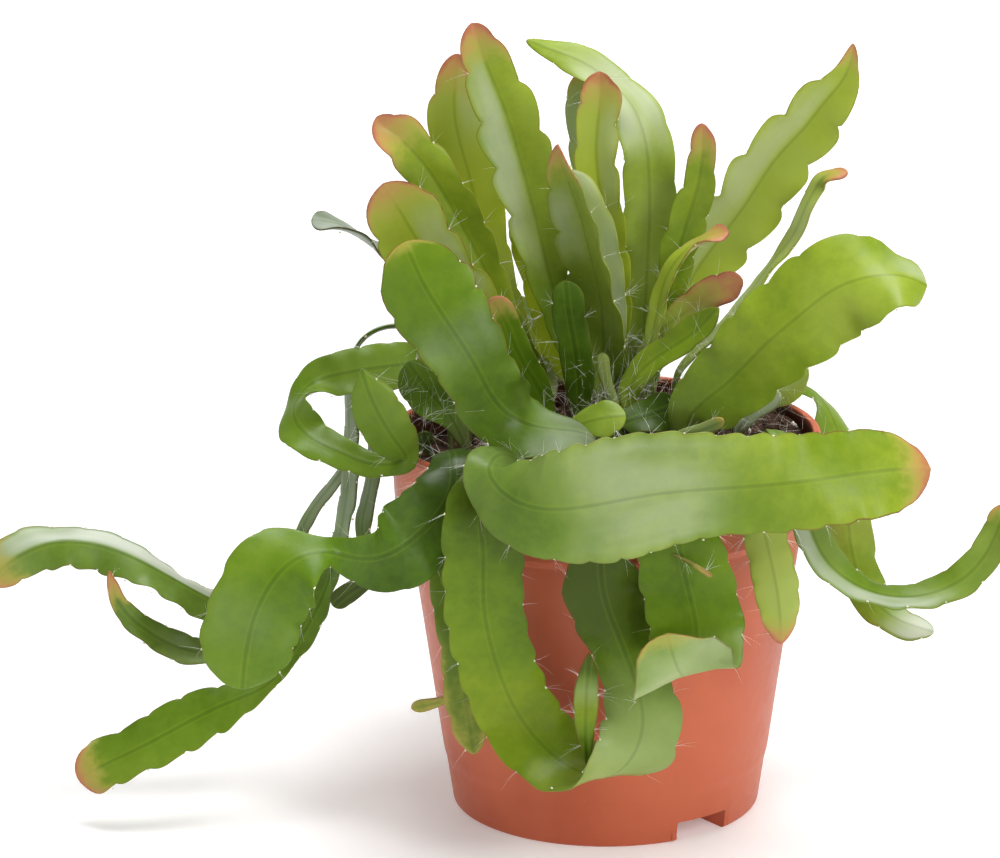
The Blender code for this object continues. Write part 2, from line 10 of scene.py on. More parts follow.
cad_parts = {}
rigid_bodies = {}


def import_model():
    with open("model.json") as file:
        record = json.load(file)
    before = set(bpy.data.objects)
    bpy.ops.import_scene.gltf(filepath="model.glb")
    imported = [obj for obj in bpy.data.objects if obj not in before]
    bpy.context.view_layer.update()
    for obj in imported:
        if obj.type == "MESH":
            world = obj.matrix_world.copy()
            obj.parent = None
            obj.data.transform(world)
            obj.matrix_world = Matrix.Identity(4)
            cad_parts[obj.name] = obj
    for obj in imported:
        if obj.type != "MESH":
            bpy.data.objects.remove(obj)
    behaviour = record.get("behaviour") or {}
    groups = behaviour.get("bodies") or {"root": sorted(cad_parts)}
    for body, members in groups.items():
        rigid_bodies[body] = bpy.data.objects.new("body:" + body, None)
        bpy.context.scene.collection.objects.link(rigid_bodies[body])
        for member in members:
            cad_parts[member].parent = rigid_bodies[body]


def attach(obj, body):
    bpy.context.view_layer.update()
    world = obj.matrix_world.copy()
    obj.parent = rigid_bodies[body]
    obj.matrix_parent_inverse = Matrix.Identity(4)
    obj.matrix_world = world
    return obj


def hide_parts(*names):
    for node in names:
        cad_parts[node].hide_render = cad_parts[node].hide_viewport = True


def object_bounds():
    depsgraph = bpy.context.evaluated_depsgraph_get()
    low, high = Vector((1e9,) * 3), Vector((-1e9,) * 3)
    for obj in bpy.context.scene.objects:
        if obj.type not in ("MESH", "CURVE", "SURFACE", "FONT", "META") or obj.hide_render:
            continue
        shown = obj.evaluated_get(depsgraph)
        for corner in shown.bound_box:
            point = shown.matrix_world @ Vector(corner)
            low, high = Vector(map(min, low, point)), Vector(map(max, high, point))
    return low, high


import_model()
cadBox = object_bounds()

mm = 0.001
chance = np.random.default_rng(27)

view = {
    "imageWidth": 1000,
    "focalPixels": 4314.3,
    "target": (-29.2, 0.0, 107.8),  # mm
    "distance": 1200.0,
    "elevation": 15.6,
    "roll": -0.47,
    "sensor": 36.0,
}


def placed(name, data):
    made = bpy.data.objects.new(name, data)
    bpy.context.scene.collection.objects.link(made)
    return made


def makeCamera():
    lift = math.radians(view["elevation"])
    turn = math.radians(view["roll"])
    ahead = Vector((0, math.cos(lift), -math.sin(lift)))
    up = Vector((0, math.sin(lift), math.cos(lift)))
    right = Vector((1, 0, 0))
    camRight = right * math.cos(turn) + up * math.sin(turn)
    camUp = up * math.cos(turn) - right * math.sin(turn)
    data = bpy.data.cameras.new("camera")
    data.sensor_width = view["sensor"]
    data.lens = view["sensor"] * view["focalPixels"] / view["imageWidth"]
    data.clip_end = 20.0
    camera = placed("camera", data)
    place = (Vector(view["target"]) - ahead * view["distance"]) * mm
    turnMatrix = Matrix((camRight, camUp, -ahead)).transposed().to_4x4()
    camera.matrix_world = Matrix.Translation(place) @ turnMatrix
    bpy.context.scene.camera = camera


makeCamera()
print("camera placed")


class Nodes:  # the nodes of a material or the world, so that each reads as a recipe
    def __init__(self, tree, coords="Object"):
        self.tree = tree
        self.coords = self.add("TexCoord", {}, coords)

    def fill(self, made, inputs):
        for key, value in inputs.items():
            socket = made.inputs[key]
            if isinstance(value, bpy.types.NodeSocket):
                self.tree.links.new(value, socket)
            elif socket.type == "RGBA" and len(value) == 3:
                socket.default_value = (*value, 1.0)
            else:
                socket.default_value = value

    def add(self, kind, inputs, output=0, **settings):
        made = self.tree.nodes.new("ShaderNode" + kind)
        for key, value in settings.items():
            setattr(made, key, value)
        self.fill(made, inputs)
        return made.outputs[output]

    def finish(self, inputs):
        self.fill(self.tree.nodes["Principled BSDF"], inputs)

    def noise(self, where, scale, detail=2.0, rough=0.5, stretch=None):
        if stretch:
            where = self.add("Mapping", {"Vector": where, "Scale": stretch})
        inputs = {"Vector": where, "Scale": scale, "Detail": detail, "Roughness": rough}
        return self.add("TexNoise", inputs, "Fac")

    def ramp(self, value, low, high, start=0.0, end=1.0):
        inputs = {"Value": value, "From Min": low, "From Max": high, "To Min": start, "To Max": end}
        return self.add("MapRange", inputs, "Result", interpolation_type="SMOOTHSTEP")

    def math(self, kind, first, second=0.0):
        return self.add("Math", {0: first, 1: second}, operation=kind)

    def plus(self, first, second):
        return self.math("ADD", first, second)

    def times(self, first, second):
        return self.math("MULTIPLY", first, second)

    def blend(self, amount, first, second):
        return self.add("Mix", {0: amount, 6: first, 7: second}, 2, data_type="RGBA")

    def attribute(self, name):
        return self.add("Attribute", {}, "Fac", attribute_name=name)

    def axis(self, name):
        return self.add("SeparateXYZ", {0: self.coords}, name)

    def radius(self):  # distance from the upright axis
        x, y = self.axis("X"), self.axis("Y")
        return self.math("SQRT", self.plus(self.times(x, x), self.times(y, y)))

    def bump(self, height, strength, distance, under=None):
        inputs = {"Height": height, "Strength": strength, "Distance": distance}
        if under:
            inputs["Normal"] = under
        return self.add("Bump", inputs)


def freshMaterial(name):
    made = bpy.data.materials.new(name)
    made.use_nodes = True
    return made, Nodes(made.node_tree)


def addPiece(name, mesh, material, nodes=()):
    piece = placed(name, mesh)
    mesh.materials.append(material)
    mesh.polygons.foreach_set("use_smooth", np.ones(len(mesh.polygons), bool))
    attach(piece, "root")
    if nodes:
        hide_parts(*nodes)
    return piece


def meshOf(name, bm):
    mesh = bpy.data.meshes.new(name)
    bm.to_mesh(mesh)
    bm.free()
    return mesh


def placesOf(mesh):
    flat = np.empty(len(mesh.vertices) * 3)
    mesh.vertices.foreach_get("co", flat)
    return flat.reshape(-1, 3)


def setPlaces(mesh, places):
    mesh.vertices.foreach_set("co", (places * mm).ravel())
    mesh.update()


def setAttribute(mesh, name, values):
    made = mesh.attributes.new(name, "FLOAT", "POINT")
    made.data.foreach_set("value", np.ascontiguousarray(values, np.float32))


# Lengths are in mm. width: full width. fold: degrees by which the halves rise towards
# the face. root: where it stands in the soil. path: places along the rib, the way the
# face looks there (F where none is given), and a share of the width (else all of it).
# shoots: smaller stems grown from it.
Stem = namedtuple("Stem", "width fold root path shoots", defaults=[()])

stems = {
    "tall_left": Stem(20, 20, (-7, 6), [
        (-5, 6, 114, "F", 0.4), (-9, 7, 129, "F", 0.45), (-14, 8, 145, "F", 0.6),
        (-18, 9, 162, "F", 0.8), (-23, 10, 182), (-27, 9, 196), (-30, 8, 204, "F", 0.85),
        (-33, 7, 212, "F", 0.75), (-36, 6, 221, "FU", 0.7)]),
    "tall_left_back": Stem(18.5, 12, (-13, 16), [
        (-17, 20, 115, "F", 0.4), (-22, 22, 127, "F", 0.4), (-28, 24, 143, "F", 0.5),
        (-34, 27, 161, "F", 0.8), (-38, 28, 177), (-41, 27, 190, "F", 0.9),
        (-41, 26, 200, "F", 0.7), (-40, 25, 209, "FU", 0.55)]),
    "pink_left": Stem(15.5, 20, (-14, 0), [
        (-16, 1, 117, "F", 0.4), (-23, 0, 132, "F", 0.5), (-30, 0, 147, "F", 0.65),
        (-36, -1, 160, "F", 0.9), (-42, -3, 172), (-49, -5, 184, "F", 0.95),
        (-55, -7, 191, "FFR", 0.95), (-62, -8, 198, "F", 0.9)]),
    "pink_broad": Stem(21.5, 5, (-21, -3), [
        (-19, -4, 118, "F", 0.5), (-29, -7, 131, "F", 0.75), (-38, -10, 144), (-46, -13, 156),
        (-53, -16, 169), (-60, -19, 182)]),
    "shield": Stem(26, -4, (-6, -30), [
        (-5, -36, 115, "FUU", 0.5), (-14, -39, 118, "FUU", 0.82), (-23, -42, 121, "FU", 0.85),
        (-30, -43, 127, "FFU", 0.8), (-35, -43, 136, "FFU", 0.8), (-40, -43, 145, "F", 0.9),
        (-46, -41, 154), (-51, -39, 163), (-54, -37, 170, "FFU")]),
    "oval": Stem(12, 4, (-14, -20), [
        (-14, -25, 113, "FU", 0.4), (-8, -27, 116, "FU", 0.8), (-2, -28, 118, "FU"),
        (5, -28, 119, "FU")]),
    "low_right": Stem(13, 0, (14, -14), [
        (4, -14, 112, "FU"), (12, -13, 115, "FU"), (20, -12, 118)]),
    "big_right": Stem(28.5, -5, (25, -14), [
        (23, -21, 117, "FFU", 0.75), (32, -23, 126, "FFU", 0.8), (42, -25, 137, "FFU", 0.92),
        (53, -26, 147, "FFU"), (62, -27, 154, "FFU"), (71, -28, 157, "FU"), (79, -28, 157, "FUU"),
        (86, -26, 154, "FU")]),
    "right_under": Stem(16, 5, (30, 2), [
        (30, 2, 110, "FD"), (38, 3, 114, "FD"), (48, 5, 119, "FFD"), (54, 6, 127)]),
    "upper_right": Stem(22.5, 20, (16, 20), [
        (13, 24, 112, "F", 0.35), (18, 26, 126, "F", 0.4), (25, 29, 143, "F", 0.7),
        (32, 31, 153, "F", 0.9), (41, 32, 165), (49, 33, 177), (57, 33, 186, "F", 0.9),
        (63, 32, 194, "F", 0.75), (68, 31, 201, "F", 0.45), (70, 30, 210, "F", 0.25)]),
    "tall_center": Stem(15, 4, (9, 16), [
        (9, 18, 113, "F", 0.6), (11, 18, 127, "F", 0.8), (12, 19, 142, "F", 0.9), (13, 21, 160),
        (13, 22, 174), (11, 24, 187, "FFR"), (7, 25, 195, "FRU"), (1, 26, 201, "FUR", 0.9),
        (-6, 27, 206, "FU", 0.75), (-14, 28, 209, "FU", 0.5), (-21, 28, 212, "FU", 0.3)]),
    "center_orange": Stem(13.5, 22, (0, 13), [
        (2, 14, 115, "F", 0.5), (4, 14, 130, "F", 0.5), (4, 14, 142, "F", 0.65),
        (2, 15, 154, "F", 0.85), (-1, 15, 172, "F", 0.95), (-2, 15, 186), (-1, 14, 197),
        (-1, 13, 206)]),
    "center_pale": Stem(11, 10, (4, 7), [
        (3, 7, 118, "F", 0.4), (3, 6, 135, "F", 0.6), (0, 5, 152), (-4, 5, 168),
        (-9, 5, 180, "F", 0.7)]),
    "center_back": Stem(12, 5, (-2, 21), [
        (2, 25, 114), (2, 28, 132), (1, 29, 150), (-1, 30, 167), (-4, 30, 185), (-4, 29, 203)]),
    "center_dark": Stem(21, 22, (1, 1), [
        (0, 1, 117, "F", 0.5), (0, 1, 131, "FFL", 0.9), (-1, 0, 147, "FL"), (-4, -2, 160, "FL"),
        (-7, -4, 172, "FL", 0.9), (-10, -6, 181, "FL", 0.7), (-13, -8, 190, "FL", 0.4)]),
    "center_dark_small": Stem(9.5, 8, (-7, -7), [
        (-7, -8, 117), (-8, -10, 131), (-10, -11, 143), (-11, -12, 153)]),
    "center_sprout": Stem(4, 5, (5, -6), [
        (2, -6, 118), (0, -6, 124), (-1, -6, 131)]),
    "right_reddish": Stem(12, 20, (16, 10), [
        (13, 12, 115, "F", 0.4), (16, 12, 132, "F", 0.6), (19, 12, 147, "F", 0.85), (22, 12, 160),
        (25, 12, 170, "F", 0.95), (27, 11, 180, "F", 0.75), (27, 9, 192, "F", 0.65)]),
    "pink_narrow": Stem(8, 15, (18, -2), [
        (13, -1, 119, "FL", 0.5), (13, 0, 131, "FL", 0.6), (15, 1, 141, "FL", 0.85),
        (17, 1, 149, "LUF", 0.8), (20, 0, 155, "LUF", 0.8), (25, -1, 160, "UL"),
        (34, -3, 164, "UF")]),
    "pink_right": Stem(9.5, 8, (10, 4), [
        (9, 4, 117, "F", 0.35), (12, 4, 130, "FFU", 0.5), (18, 3, 137, "FFU", 0.75),
        (24, 3, 141, "FFU"), (30, 1, 146, "FFU"), (38, 0, 150)]),
    "green_right_low": Stem(8.5, 14, (12, -6), [
        (7, -6, 121, "FU"), (14, -6, 129, "FU"), (21, -7, 134, "FU"), (26, -7, 138, "FU"),
        (31, -8, 144, "FU", 0.5)]),
    "edge_right": Stem(6, 5, (26, 12), [
        (21, 16, 119, "LLUUF", 0.7), (27, 17, 126, "LLUUF", 0.7), (35, 18, 134, "LLUUF", 0.7),
        (42, 19, 142, "LLUUF", 0.8), (48, 20, 150, "LLUUF", 0.8), (53, 20, 157, "LUFF", 0.8),
        (57, 20, 166, "LUFF", 0.75), (60, 20, 172, "UFF", 0.8), (63, 18, 175, "FUU"),
        (68, 17, 176, "FUU")]),
    "grey_left": Stem(13, 3, (-30, 20), [
        (-29, 26, 113, "UF"), (-38, 30, 124, "UF"), (-49, 33, 137, "U"), (-61, 35, 149, "U"),
        (-72, 35, 157, "U"), (-82, 34, 160, "UF")]),
    "small_red": Stem(8, 8, (-15, -11), [
        (-18, -13, 122), (-24, -16, 134), (-27, -17, 142), (-31, -18, 150)]),
    "grey_sliver": Stem(10, 5, (-20, 32), [
        (-15, 40, 108), (-19, 42, 117), (-22, 43, 126), (-23, 44, 135)]),
    "peek_left": Stem(11, 5, (-9, 24), [
        (-6, 28, 110), (-12, 33, 121), (-16, 36, 136), (-19, 37, 147), (-23, 37, 160)]),
    "trail_low": Stem(17, 4, (-38, 10), [
        (-40, 12, 121, "UUF", 0.5), (-48, 12, 130, "UUF", 0.4), (-59, 10, 135, "UUL", 0.35),
        (-67, 8, 132, "LLU", 0.35), (-71, 4, 115, "LLF", 0.35), (-71, 0, 96, "LF", 0.4),
        (-74, -4, 77, "LF", 0.45), (-79, -8, 61, "LF", 0.45), (-86, -12, 49, "LF", 0.45),
        (-95, -16, 38, "LUF", 0.35), (-103, -18, 35, "FU", 0.7), (-115, -20, 30, "FU"),
        (-127, -22, 24, "FU"), (-139, -22, 18, "FU"), (-148, -22, 14)]),
    "trail_mid": Stem(6, 4, (-43, 3), [
        (-47, 4, 120, "UL"), (-54, 4, 127, "UL"), (-61, 0, 121, "LU"), (-64, -8, 107, "LF"),
        (-65, -12, 94, "LF"), (-67, -14, 82, "LF"), (-66, -15, 70, "F", 0.8), (-71, -16, 66),
        (-76, -17, 62)]),
    "trail_far": Stem(14.5, -16, (-38, 18), [
        (-39, 22, 115, "UF", 0.5), (-50, 22, 123, "UF", 0.4), (-63, 20, 122, "UL", 0.35),
        (-70, 16, 109, "LU", 0.3), (-73, 13, 94, "LF", 0.3), (-81, 12, 83, "LF", 0.3),
        (-87, 12, 72, "LF", 0.3), (-96, 12, 58, "LFU", 0.4), (-104, 10, 53, "UF", 0.7),
        (-112, 8, 56, "UUF"), (-126, 6, 65, "UUF"), (-141, 4, 73, "UF"), (-154, 2, 75, "FU"),
        (-166, 0, 71), (-174, -2, 65)], [
        (10, 14, [
            (-95, 11, 58, "F", 0.5), (-104, 8, 46), (-113, 6, 41, "FU"), (-123, 4, 44, "FU"),
            (-131, 2, 50, "FU", 0.8), (-137, 0, 59, "F", 0.5), (-139, -2, 68, "F", 0.25)])]),
    "loop_left": Stem(14, 4, (-38, -7), [
        (-47, -4, 127, "F", 0.6), (-59, -7, 128, "FFU"), (-71, -10, 127, "FFU", 0.95),
        (-80, -14, 125, "FL", 0.85), (-85, -20, 119, "FL", 0.9), (-82, -26, 114, "FU", 0.9),
        (-73, -30, 110, "FU", 0.7), (-62, -33, 107, "FU", 0.5), (-55, -35, 109, "FU", 0.5),
        (-57, -38, 115, "F", 0.9), (-61, -39, 122), (-64, -40, 129, "F", 0.8),
        (-66, -40, 136, "F", 0.25)]),
    "shade_upper": Stem(15, 5, (-37, -15), [
        (-45, -17, 119, "FU"), (-49, -19, 125), (-54, -21, 133)]),
    "shade_lower": Stem(9, 5, (-44, -17), [
        (-49, -28, 111, "FU"), (-50, -31, 116)]),
    "behind_strap": Stem(12, 4, (-33, -30), [
        (-43, -46, 110, "U", 0.5), (-43, -53, 102, "F", 0.8), (-43, -52, 88), (-42, -50, 73),
        (-40, -48, 58), (-39, -46, 44), (-37, -44, 28, "F", 0.6)], [
        (8, 4, [
            (-39, -46, 47, "F", 0.6), (-46, -43, 43), (-54, -40, 40)])]),
    "front_strap": Stem(22, 6, (-27, -37), [
        (-28, -50, 110, "U", 0.4), (-30, -59, 111, "UF", 0.6), (-34, -67, 105, "F", 0.9),
        (-34, -68, 94), (-34, -66, 80), (-31, -61, 61), (-25, -59, 45), (-16, -62, 34, "FU"),
        (-6, -68, 30, "U"), (3, -73, 35, "UB"), (8, -73, 46, "B"), (6, -70, 58, "B", 0.85),
        (2, -68, 69, "B", 0.85), (-2, -68, 81, "B"), (-3, -69, 95, "B")], [
        (10, 20, [
            (-6, -68, 31, "FU", 0.6), (-7, -72, 42), (-7, -74, 54, "F", 0.9),
            (-6, -74, 67, "F", 0.25)])]),
    "bright_hang": Stem(32, -3, (18, -38), [
        (17, -55, 115, "U", 0.42), (17, -63, 110, "UF", 0.68), (17, -70, 103, "F", 0.7),
        (18, -72, 94, "F", 0.74), (20, -72, 84, "F", 0.8), (22, -74, 75, "F", 0.8),
        (22, -77, 67, "FUL", 0.88), (19, -82, 63.5, "UUL"), (16, -87, 68, "UBL"),
        (14, -89, 77, "BBU")], [
        (3.5, 0, [
            (14, -71, 94), (20, -75, 92), (26, -78, 89)])]),
    "front_sweep": Stem(33, -6, (-19, -39), [
        (-19, -47, 108, "UF", 0.3), (-23, -55, 113, "UF", 0.3), (-29, -63, 118, "UF", 0.3),
        (-32, -72, 117, "F", 0.45), (-27, -80, 112, "F", 0.7), (-19, -84, 110, "F", 0.88),
        (-7, -86, 111), (10, -86, 114), (33, -83, 115, "F", 0.85), (57, -76, 115, "FFU", 0.78),
        (74, -69, 115, "FFU", 0.78), (84, -65, 114, "FFU", 0.8)]),
    "right_short": Stem(12, -3, (34, -28), [
        (36, -47, 114, "U", 0.6), (39, -56, 103, "FU"), (42, -57, 90), (45, -55, 75),
        (46, -53, 62, "F", 0.5)]),
    "right_long": Stem(10, 12, (42, -14), [
        (46, -38, 115, "U", 0.6), (52, -46, 99, "UF"), (59, -46, 82, "UF"), (70, -46, 74, "UUF"),
        (85, -44, 72, "UUF"), (98, -42, 78, "UF"), (105, -40, 88, "FUL"), (108, -38, 96, "FL")]),
    "right_back_hang": Stem(14, -4, (36, 16), [
        (49, 23, 112, "U", 0.6), (59, 28, 110.5, "UR", 0.7), (66, 27, 100, "RF"), (69, 21, 87),
        (70, 16, 70), (74, 12, 57, "F", 0.85), (82, 8, 49, "FU", 0.75), (93, 4, 46, "UF", 0.6)]),
    "cape_left": Stem(26, 3, (-38, -23), [
        (-43, -38, 111, "FU", 0.35), (-42, -48, 114, "FU", 0.45), (-42, -55, 108, "F", 0.7),
        (-50, -60, 97, "F", 0.9), (-60, -66, 92, "F", 0.8), (-68, -71, 93, "F", 0.5),
        (-75, -74, 95, "FU", 0.35), (-83, -77, 94, "FU", 0.85), (-91, -79, 86), (-96, -79, 72),
        (-98, -75, 58, "FD", 0.9)]),
    "blue_strap": Stem(8, 3, (40, -3), [
        (37, -7, 109, "UF"), (41, -8, 114, "UF"), (48, -9, 120, "UF")]),
    "dried_tip": Stem(4, 3, (19, -28), [
        (19, -34, 115), (25, -35, 117), (31, -36, 120)]),
    "back_a": Stem(15, 4, (-27, 33), [
        (-37, 50, 112, "U", 0.6), (-43, 63, 102, "BU"), (-46, 68, 80, "B"), (-46, 66, 55, "B"),
        (-42, 60, 34, "B")]),
    "back_b": Stem(17, -4, (-8, 40), [
        (-11, 56, 113, "U", 0.6), (-13, 68, 103, "BU"), (-16, 71, 80, "B"), (-21, 73, 58, "B"),
        (-27, 78, 42, "B")]),
    "back_c": Stem(14, 14, (6, 38), [
        (7, 56, 114, "U", 0.6), (9, 70, 108, "BU"), (12, 78, 92, "B"), (16, 82, 72, "B"),
        (22, 85, 54, "B")]),
    "back_d": Stem(16, 5, (22, 36), [
        (31, 52, 113, "U", 0.6), (38, 64, 105, "BU"), (43, 70, 86, "B"), (45, 68, 62, "B"),
        (43, 62, 44, "B")]),
    "back_e": Stem(13, 8, (-17, 40), [
        (-25, 54, 117, "U", 0.6), (-30, 70, 112, "UB"), (-33, 84, 98, "B"), (-33, 90, 80, "B"),
        (-29, 92, 66, "B")]),
}

# tint: -1 dark to 1 bright, the stem's own tone together with painted shade and
# painted light along it. sun: yellow cast. bloom: pale waxy cast, partly the wax's own
# colour and partly painted sheen. Each of these is one number or several, spaced evenly along
# the stem. blush: warmth of the tip, rosy: from orange to pink, reach: how far down it goes.
# rim: dark line along the edge. lobe: depth of the notches as a share of the half width, span:
# their distance.
Look = namedtuple("Look", "tint sun bloom blush rosy reach rim lobe span",
                  defaults=[0.1, 0.4, 0.08, 0.0, 0.4, 9.0, 0.25, 0.12, 11.5])

looks = {
    "tall_left": Look((0.0, 0.2, 0.45, 0.6), 0.5, 0.1, 1.0, 0.5, 13, 0.5, 0.22, 14),
    "tall_left_back": Look(1.5, 0.8, 0.15, 0.95, 0.35, 14, 0.4, 0.17, 14),
    "pink_left": Look(0.3, 0.6, 0.05, 1.0, 0.7, 14, 0.6, 0.2, 13),
    "pink_broad": Look(0.5, 0.8, 0.15, 0.9, 0.55, 11, 0.8, 0.14, 13),
    "shield": Look((-0.7, -0.5, -0.3, -0.3, -0.1, 0.1), 0.45, 0.05, 0.5, 0.4, 3.5, 0.9, 0.1, 10),
    "oval": Look(0.25, 0.6, 0.1, 0.0, 0.3, 5, 0.2, 0.1, 6),
    "low_right": Look(-0.6, 0.3, 0.0, 0.0),
    "big_right": Look((0.2, 0.4, 0.5, 0.45), 0.45, 0.12, 0.1, 0.3, 5, 0.2, 0.1, 12),
    "right_under": Look(1.5, 0.5, 0.9),
    "upper_right": Look(0.85, 0.65, 0.25, 0.8, 0.5, 8, 0.5, 0.25, 15),
    "tall_center": Look(0.6, 0.45, 0.3, 0.0, 0.4, 8, 0.1, 0.1, 13),
    "center_orange": Look(0.95, 0.75, 0.15, 1.0, 0.2, 12, 0.4, 0.2, 13),
    "center_pale": Look(0.9, 0.6, 0.8),
    "center_back": Look(1.5, 0.9, 1.0, 0.5, 0.3, 8),
    "center_dark": Look(0.25, 0.5, 0.1, 0.9, 0.7, 11, 0.5, 0.2, 13),
    "center_dark_small": Look(-0.5, 0.3, 0.0),
    "center_sprout": Look(2.0, 0.5, 0.6),
    "right_reddish": Look(0.4, 0.5, 0.1, 0.9, 0.6, 12, 0.4, 0.22, 12),
    "pink_narrow": Look(1.6, 0.6, 0.5, 0.9, 0.8, 14, 0.6, 0.16, 10),
    "pink_right": Look(1.5, 0.6, 0.9, 1.0, 0.8, 24, 0.7, 0.16, 10),
    "green_right_low": Look(0.3, 0.6, 0.05),
    "edge_right": Look(0.7, 0.6, 0.3, 0.9, 0.3, 8, 0.4, 0.12, 10),
    "grey_left": Look(-1.0, 0.1, 0.0),
    "small_red": Look(0.0, 0.3, 0.0, 0.8, 0.8, 8, 0.3, 0.1),
    "grey_sliver": Look(1.0, 0.3, 0.7),
    "peek_left": Look(0.5, 0.8, 0.0),
    "trail_low": Look((-0.2, -0.4, -0.6, -0.5, -0.1, -0.1), 0.45, 0.05, 0.9, 0.45, 9, 0.3, 0.14, 10),
    "trail_mid": Look(-1.0, 0.5, 0.05),
    "trail_far": Look((-0.2, -0.4, -0.5, -0.3, -0.1), 0.45, 0.25, 0.8, 0.5, 12, 0.4, 0.1, 9),
    "loop_left": Look(-0.1, 0.45, 0.1, 0.0, 0.4, 8, 0.2, 0.07, 8),
    "shade_upper": Look(-0.3, 0.4, 0.05),
    "shade_lower": Look(-0.7, 0.3, 0.05),
    "behind_strap": Look(-0.4, 0.7, 0.05, 0.3, 0.3, 40),
    "front_strap": Look((-0.7, -0.8, -0.65, -0.4, -0.1, 0.1, 0.15, -0.3, -0.7, -0.8), 0.7,
                        (0.0, 0.0, 0.0, 0.0, 0.0, 0.6, 0.0, 0.0), 0.0, 0.4, 8, 0.6, 0.09, 10),
    "bright_hang": Look((-0.2, -0.2, -0.25, -0.3, 0.4), (0.5, 0.5, 0.5, 0.5, 0.1),
                        (0.0,) * 9 + (0.25, 1.0, 1.0), 0.45, 0.9, 6, 0.6, 0.08, 9),
    "front_sweep": Look((-0.8, -0.8, -0.3, 0.05, 0.15, 0.25, 0.25), 0.5,
                        (0.0, 0.15, 0.3, 0.1, 0.0), 1.0, 0.35, 10, 0.9, 0.06, 8),
    "right_short": Look(0.9, 0.75, 0.35, 0.9, 0.4, 9, 0.4, 0.08, 8),
    "right_long": Look(0.0, 0.45, 0.2, 0.8, 0.5, 6, 0.4, 0.11, 10),
    "right_back_hang": Look(0.2, 0.5, 0.2),
    "cape_left": Look((-0.9, -1.1, -1.0, -0.65, -0.15, -0.05, -0.2), (0.2, 0.2, 0.3, 0.4),
                      0.03, 0.0, 0.4, 8, 0.2, 0.07, 9),
    "blue_strap": Look(-0.6, 0.0, 0.7),
    "dried_tip": Look(0.0, 0.6, 0.5, 0.4, 0.2, 3, 0.2, 0.10),
    "back_a": Look(0.0, 0.5, 0.2, 0.6, 0.4, 9),
    "back_b": Look(0.1, 0.5, 0.2, 0.3, 0.4, 8),
    "back_c": Look(-0.1, 0.4, 0.2, 0.8, 0.3, 10),
    "back_d": Look(0.2, 0.6, 0.1, 0.2, 0.5, 7),
    "back_e": Look(0.05, 0.5, 0.2, 0.9, 0.6, 9),
}

# Where light lies on the wax, in patches: from and to as shares of the length, strength,
# and the half that has it, -1 or 1, or 0 for both.
glare = {
    "tall_center": [(0.62, 0.84, 0.5, 0)],
    "tall_left": [(0.45, 0.88, 0.38, -1)],
    "tall_left_back": [(0.75, 0.95, 0.2, 1)],
    "center_orange": [(0.6, 0.88, 0.3, 1)],
    "center_dark": [(0.62, 0.82, 0.3, -1)],
    "center_pale": [(0.3, 1.0, 0.4, 0)],
    "upper_right": [(0.3, 0.85, 0.25, -1)],
    "big_right": [(0.86, 1.0, 0.3, -1)],
    "pink_broad": [(0.55, 0.85, 0.25, 1)],
    "shield": [(0.15, 0.35, 0.25, 0), (0.62, 0.72, 0.18, 0)],
    "cape_left": [(0.78, 0.84, 0.1, 0)],
    "front_sweep": [(0.42, 0.62, 0.25, 0)],
    "trail_far": [(0.1, 0.45, 0.35, 0), (0.55, 0.92, 0.9, 1)],
    "trail_low": [(0.15, 0.5, 0.35, 0)],
    "trail_mid": [(0.2, 0.7, 0.3, 0)],
    "grey_left": [(0.2, 1.0, 0.5, 0)],
    "right_long": [(0.25, 0.72, 0.7, 1)],
    "right_back_hang": [(0.86, 1.0, 0.8, 0)],
    "edge_right": [(0.3, 0.8, 0.3, 0)],
    "blue_strap": [(0.2, 1.0, 0.5, 0)],
}

skin = {
    "dark": (0.018, 0.050, 0.004),
    "mid": (0.085, 0.190, 0.007),
    "bright": (0.310, 0.450, 0.024),
    "yellow": (0.370, 0.400, 0.016),
    # pale wax bloom, partly painted sheen
    "bloom": (0.34, 0.42, 0.19),
    "glare": (0.60, 0.64, 0.55),
    "stalk": (0.20, 0.21, 0.08),
    "olive": (0.40, 0.36, 0.07),
    "orange": (0.52, 0.24, 0.09),
    "red": (0.40, 0.09, 0.05),
    "pink": (0.48, 0.14, 0.11),
    "rim": (0.16, 0.050, 0.020),
}


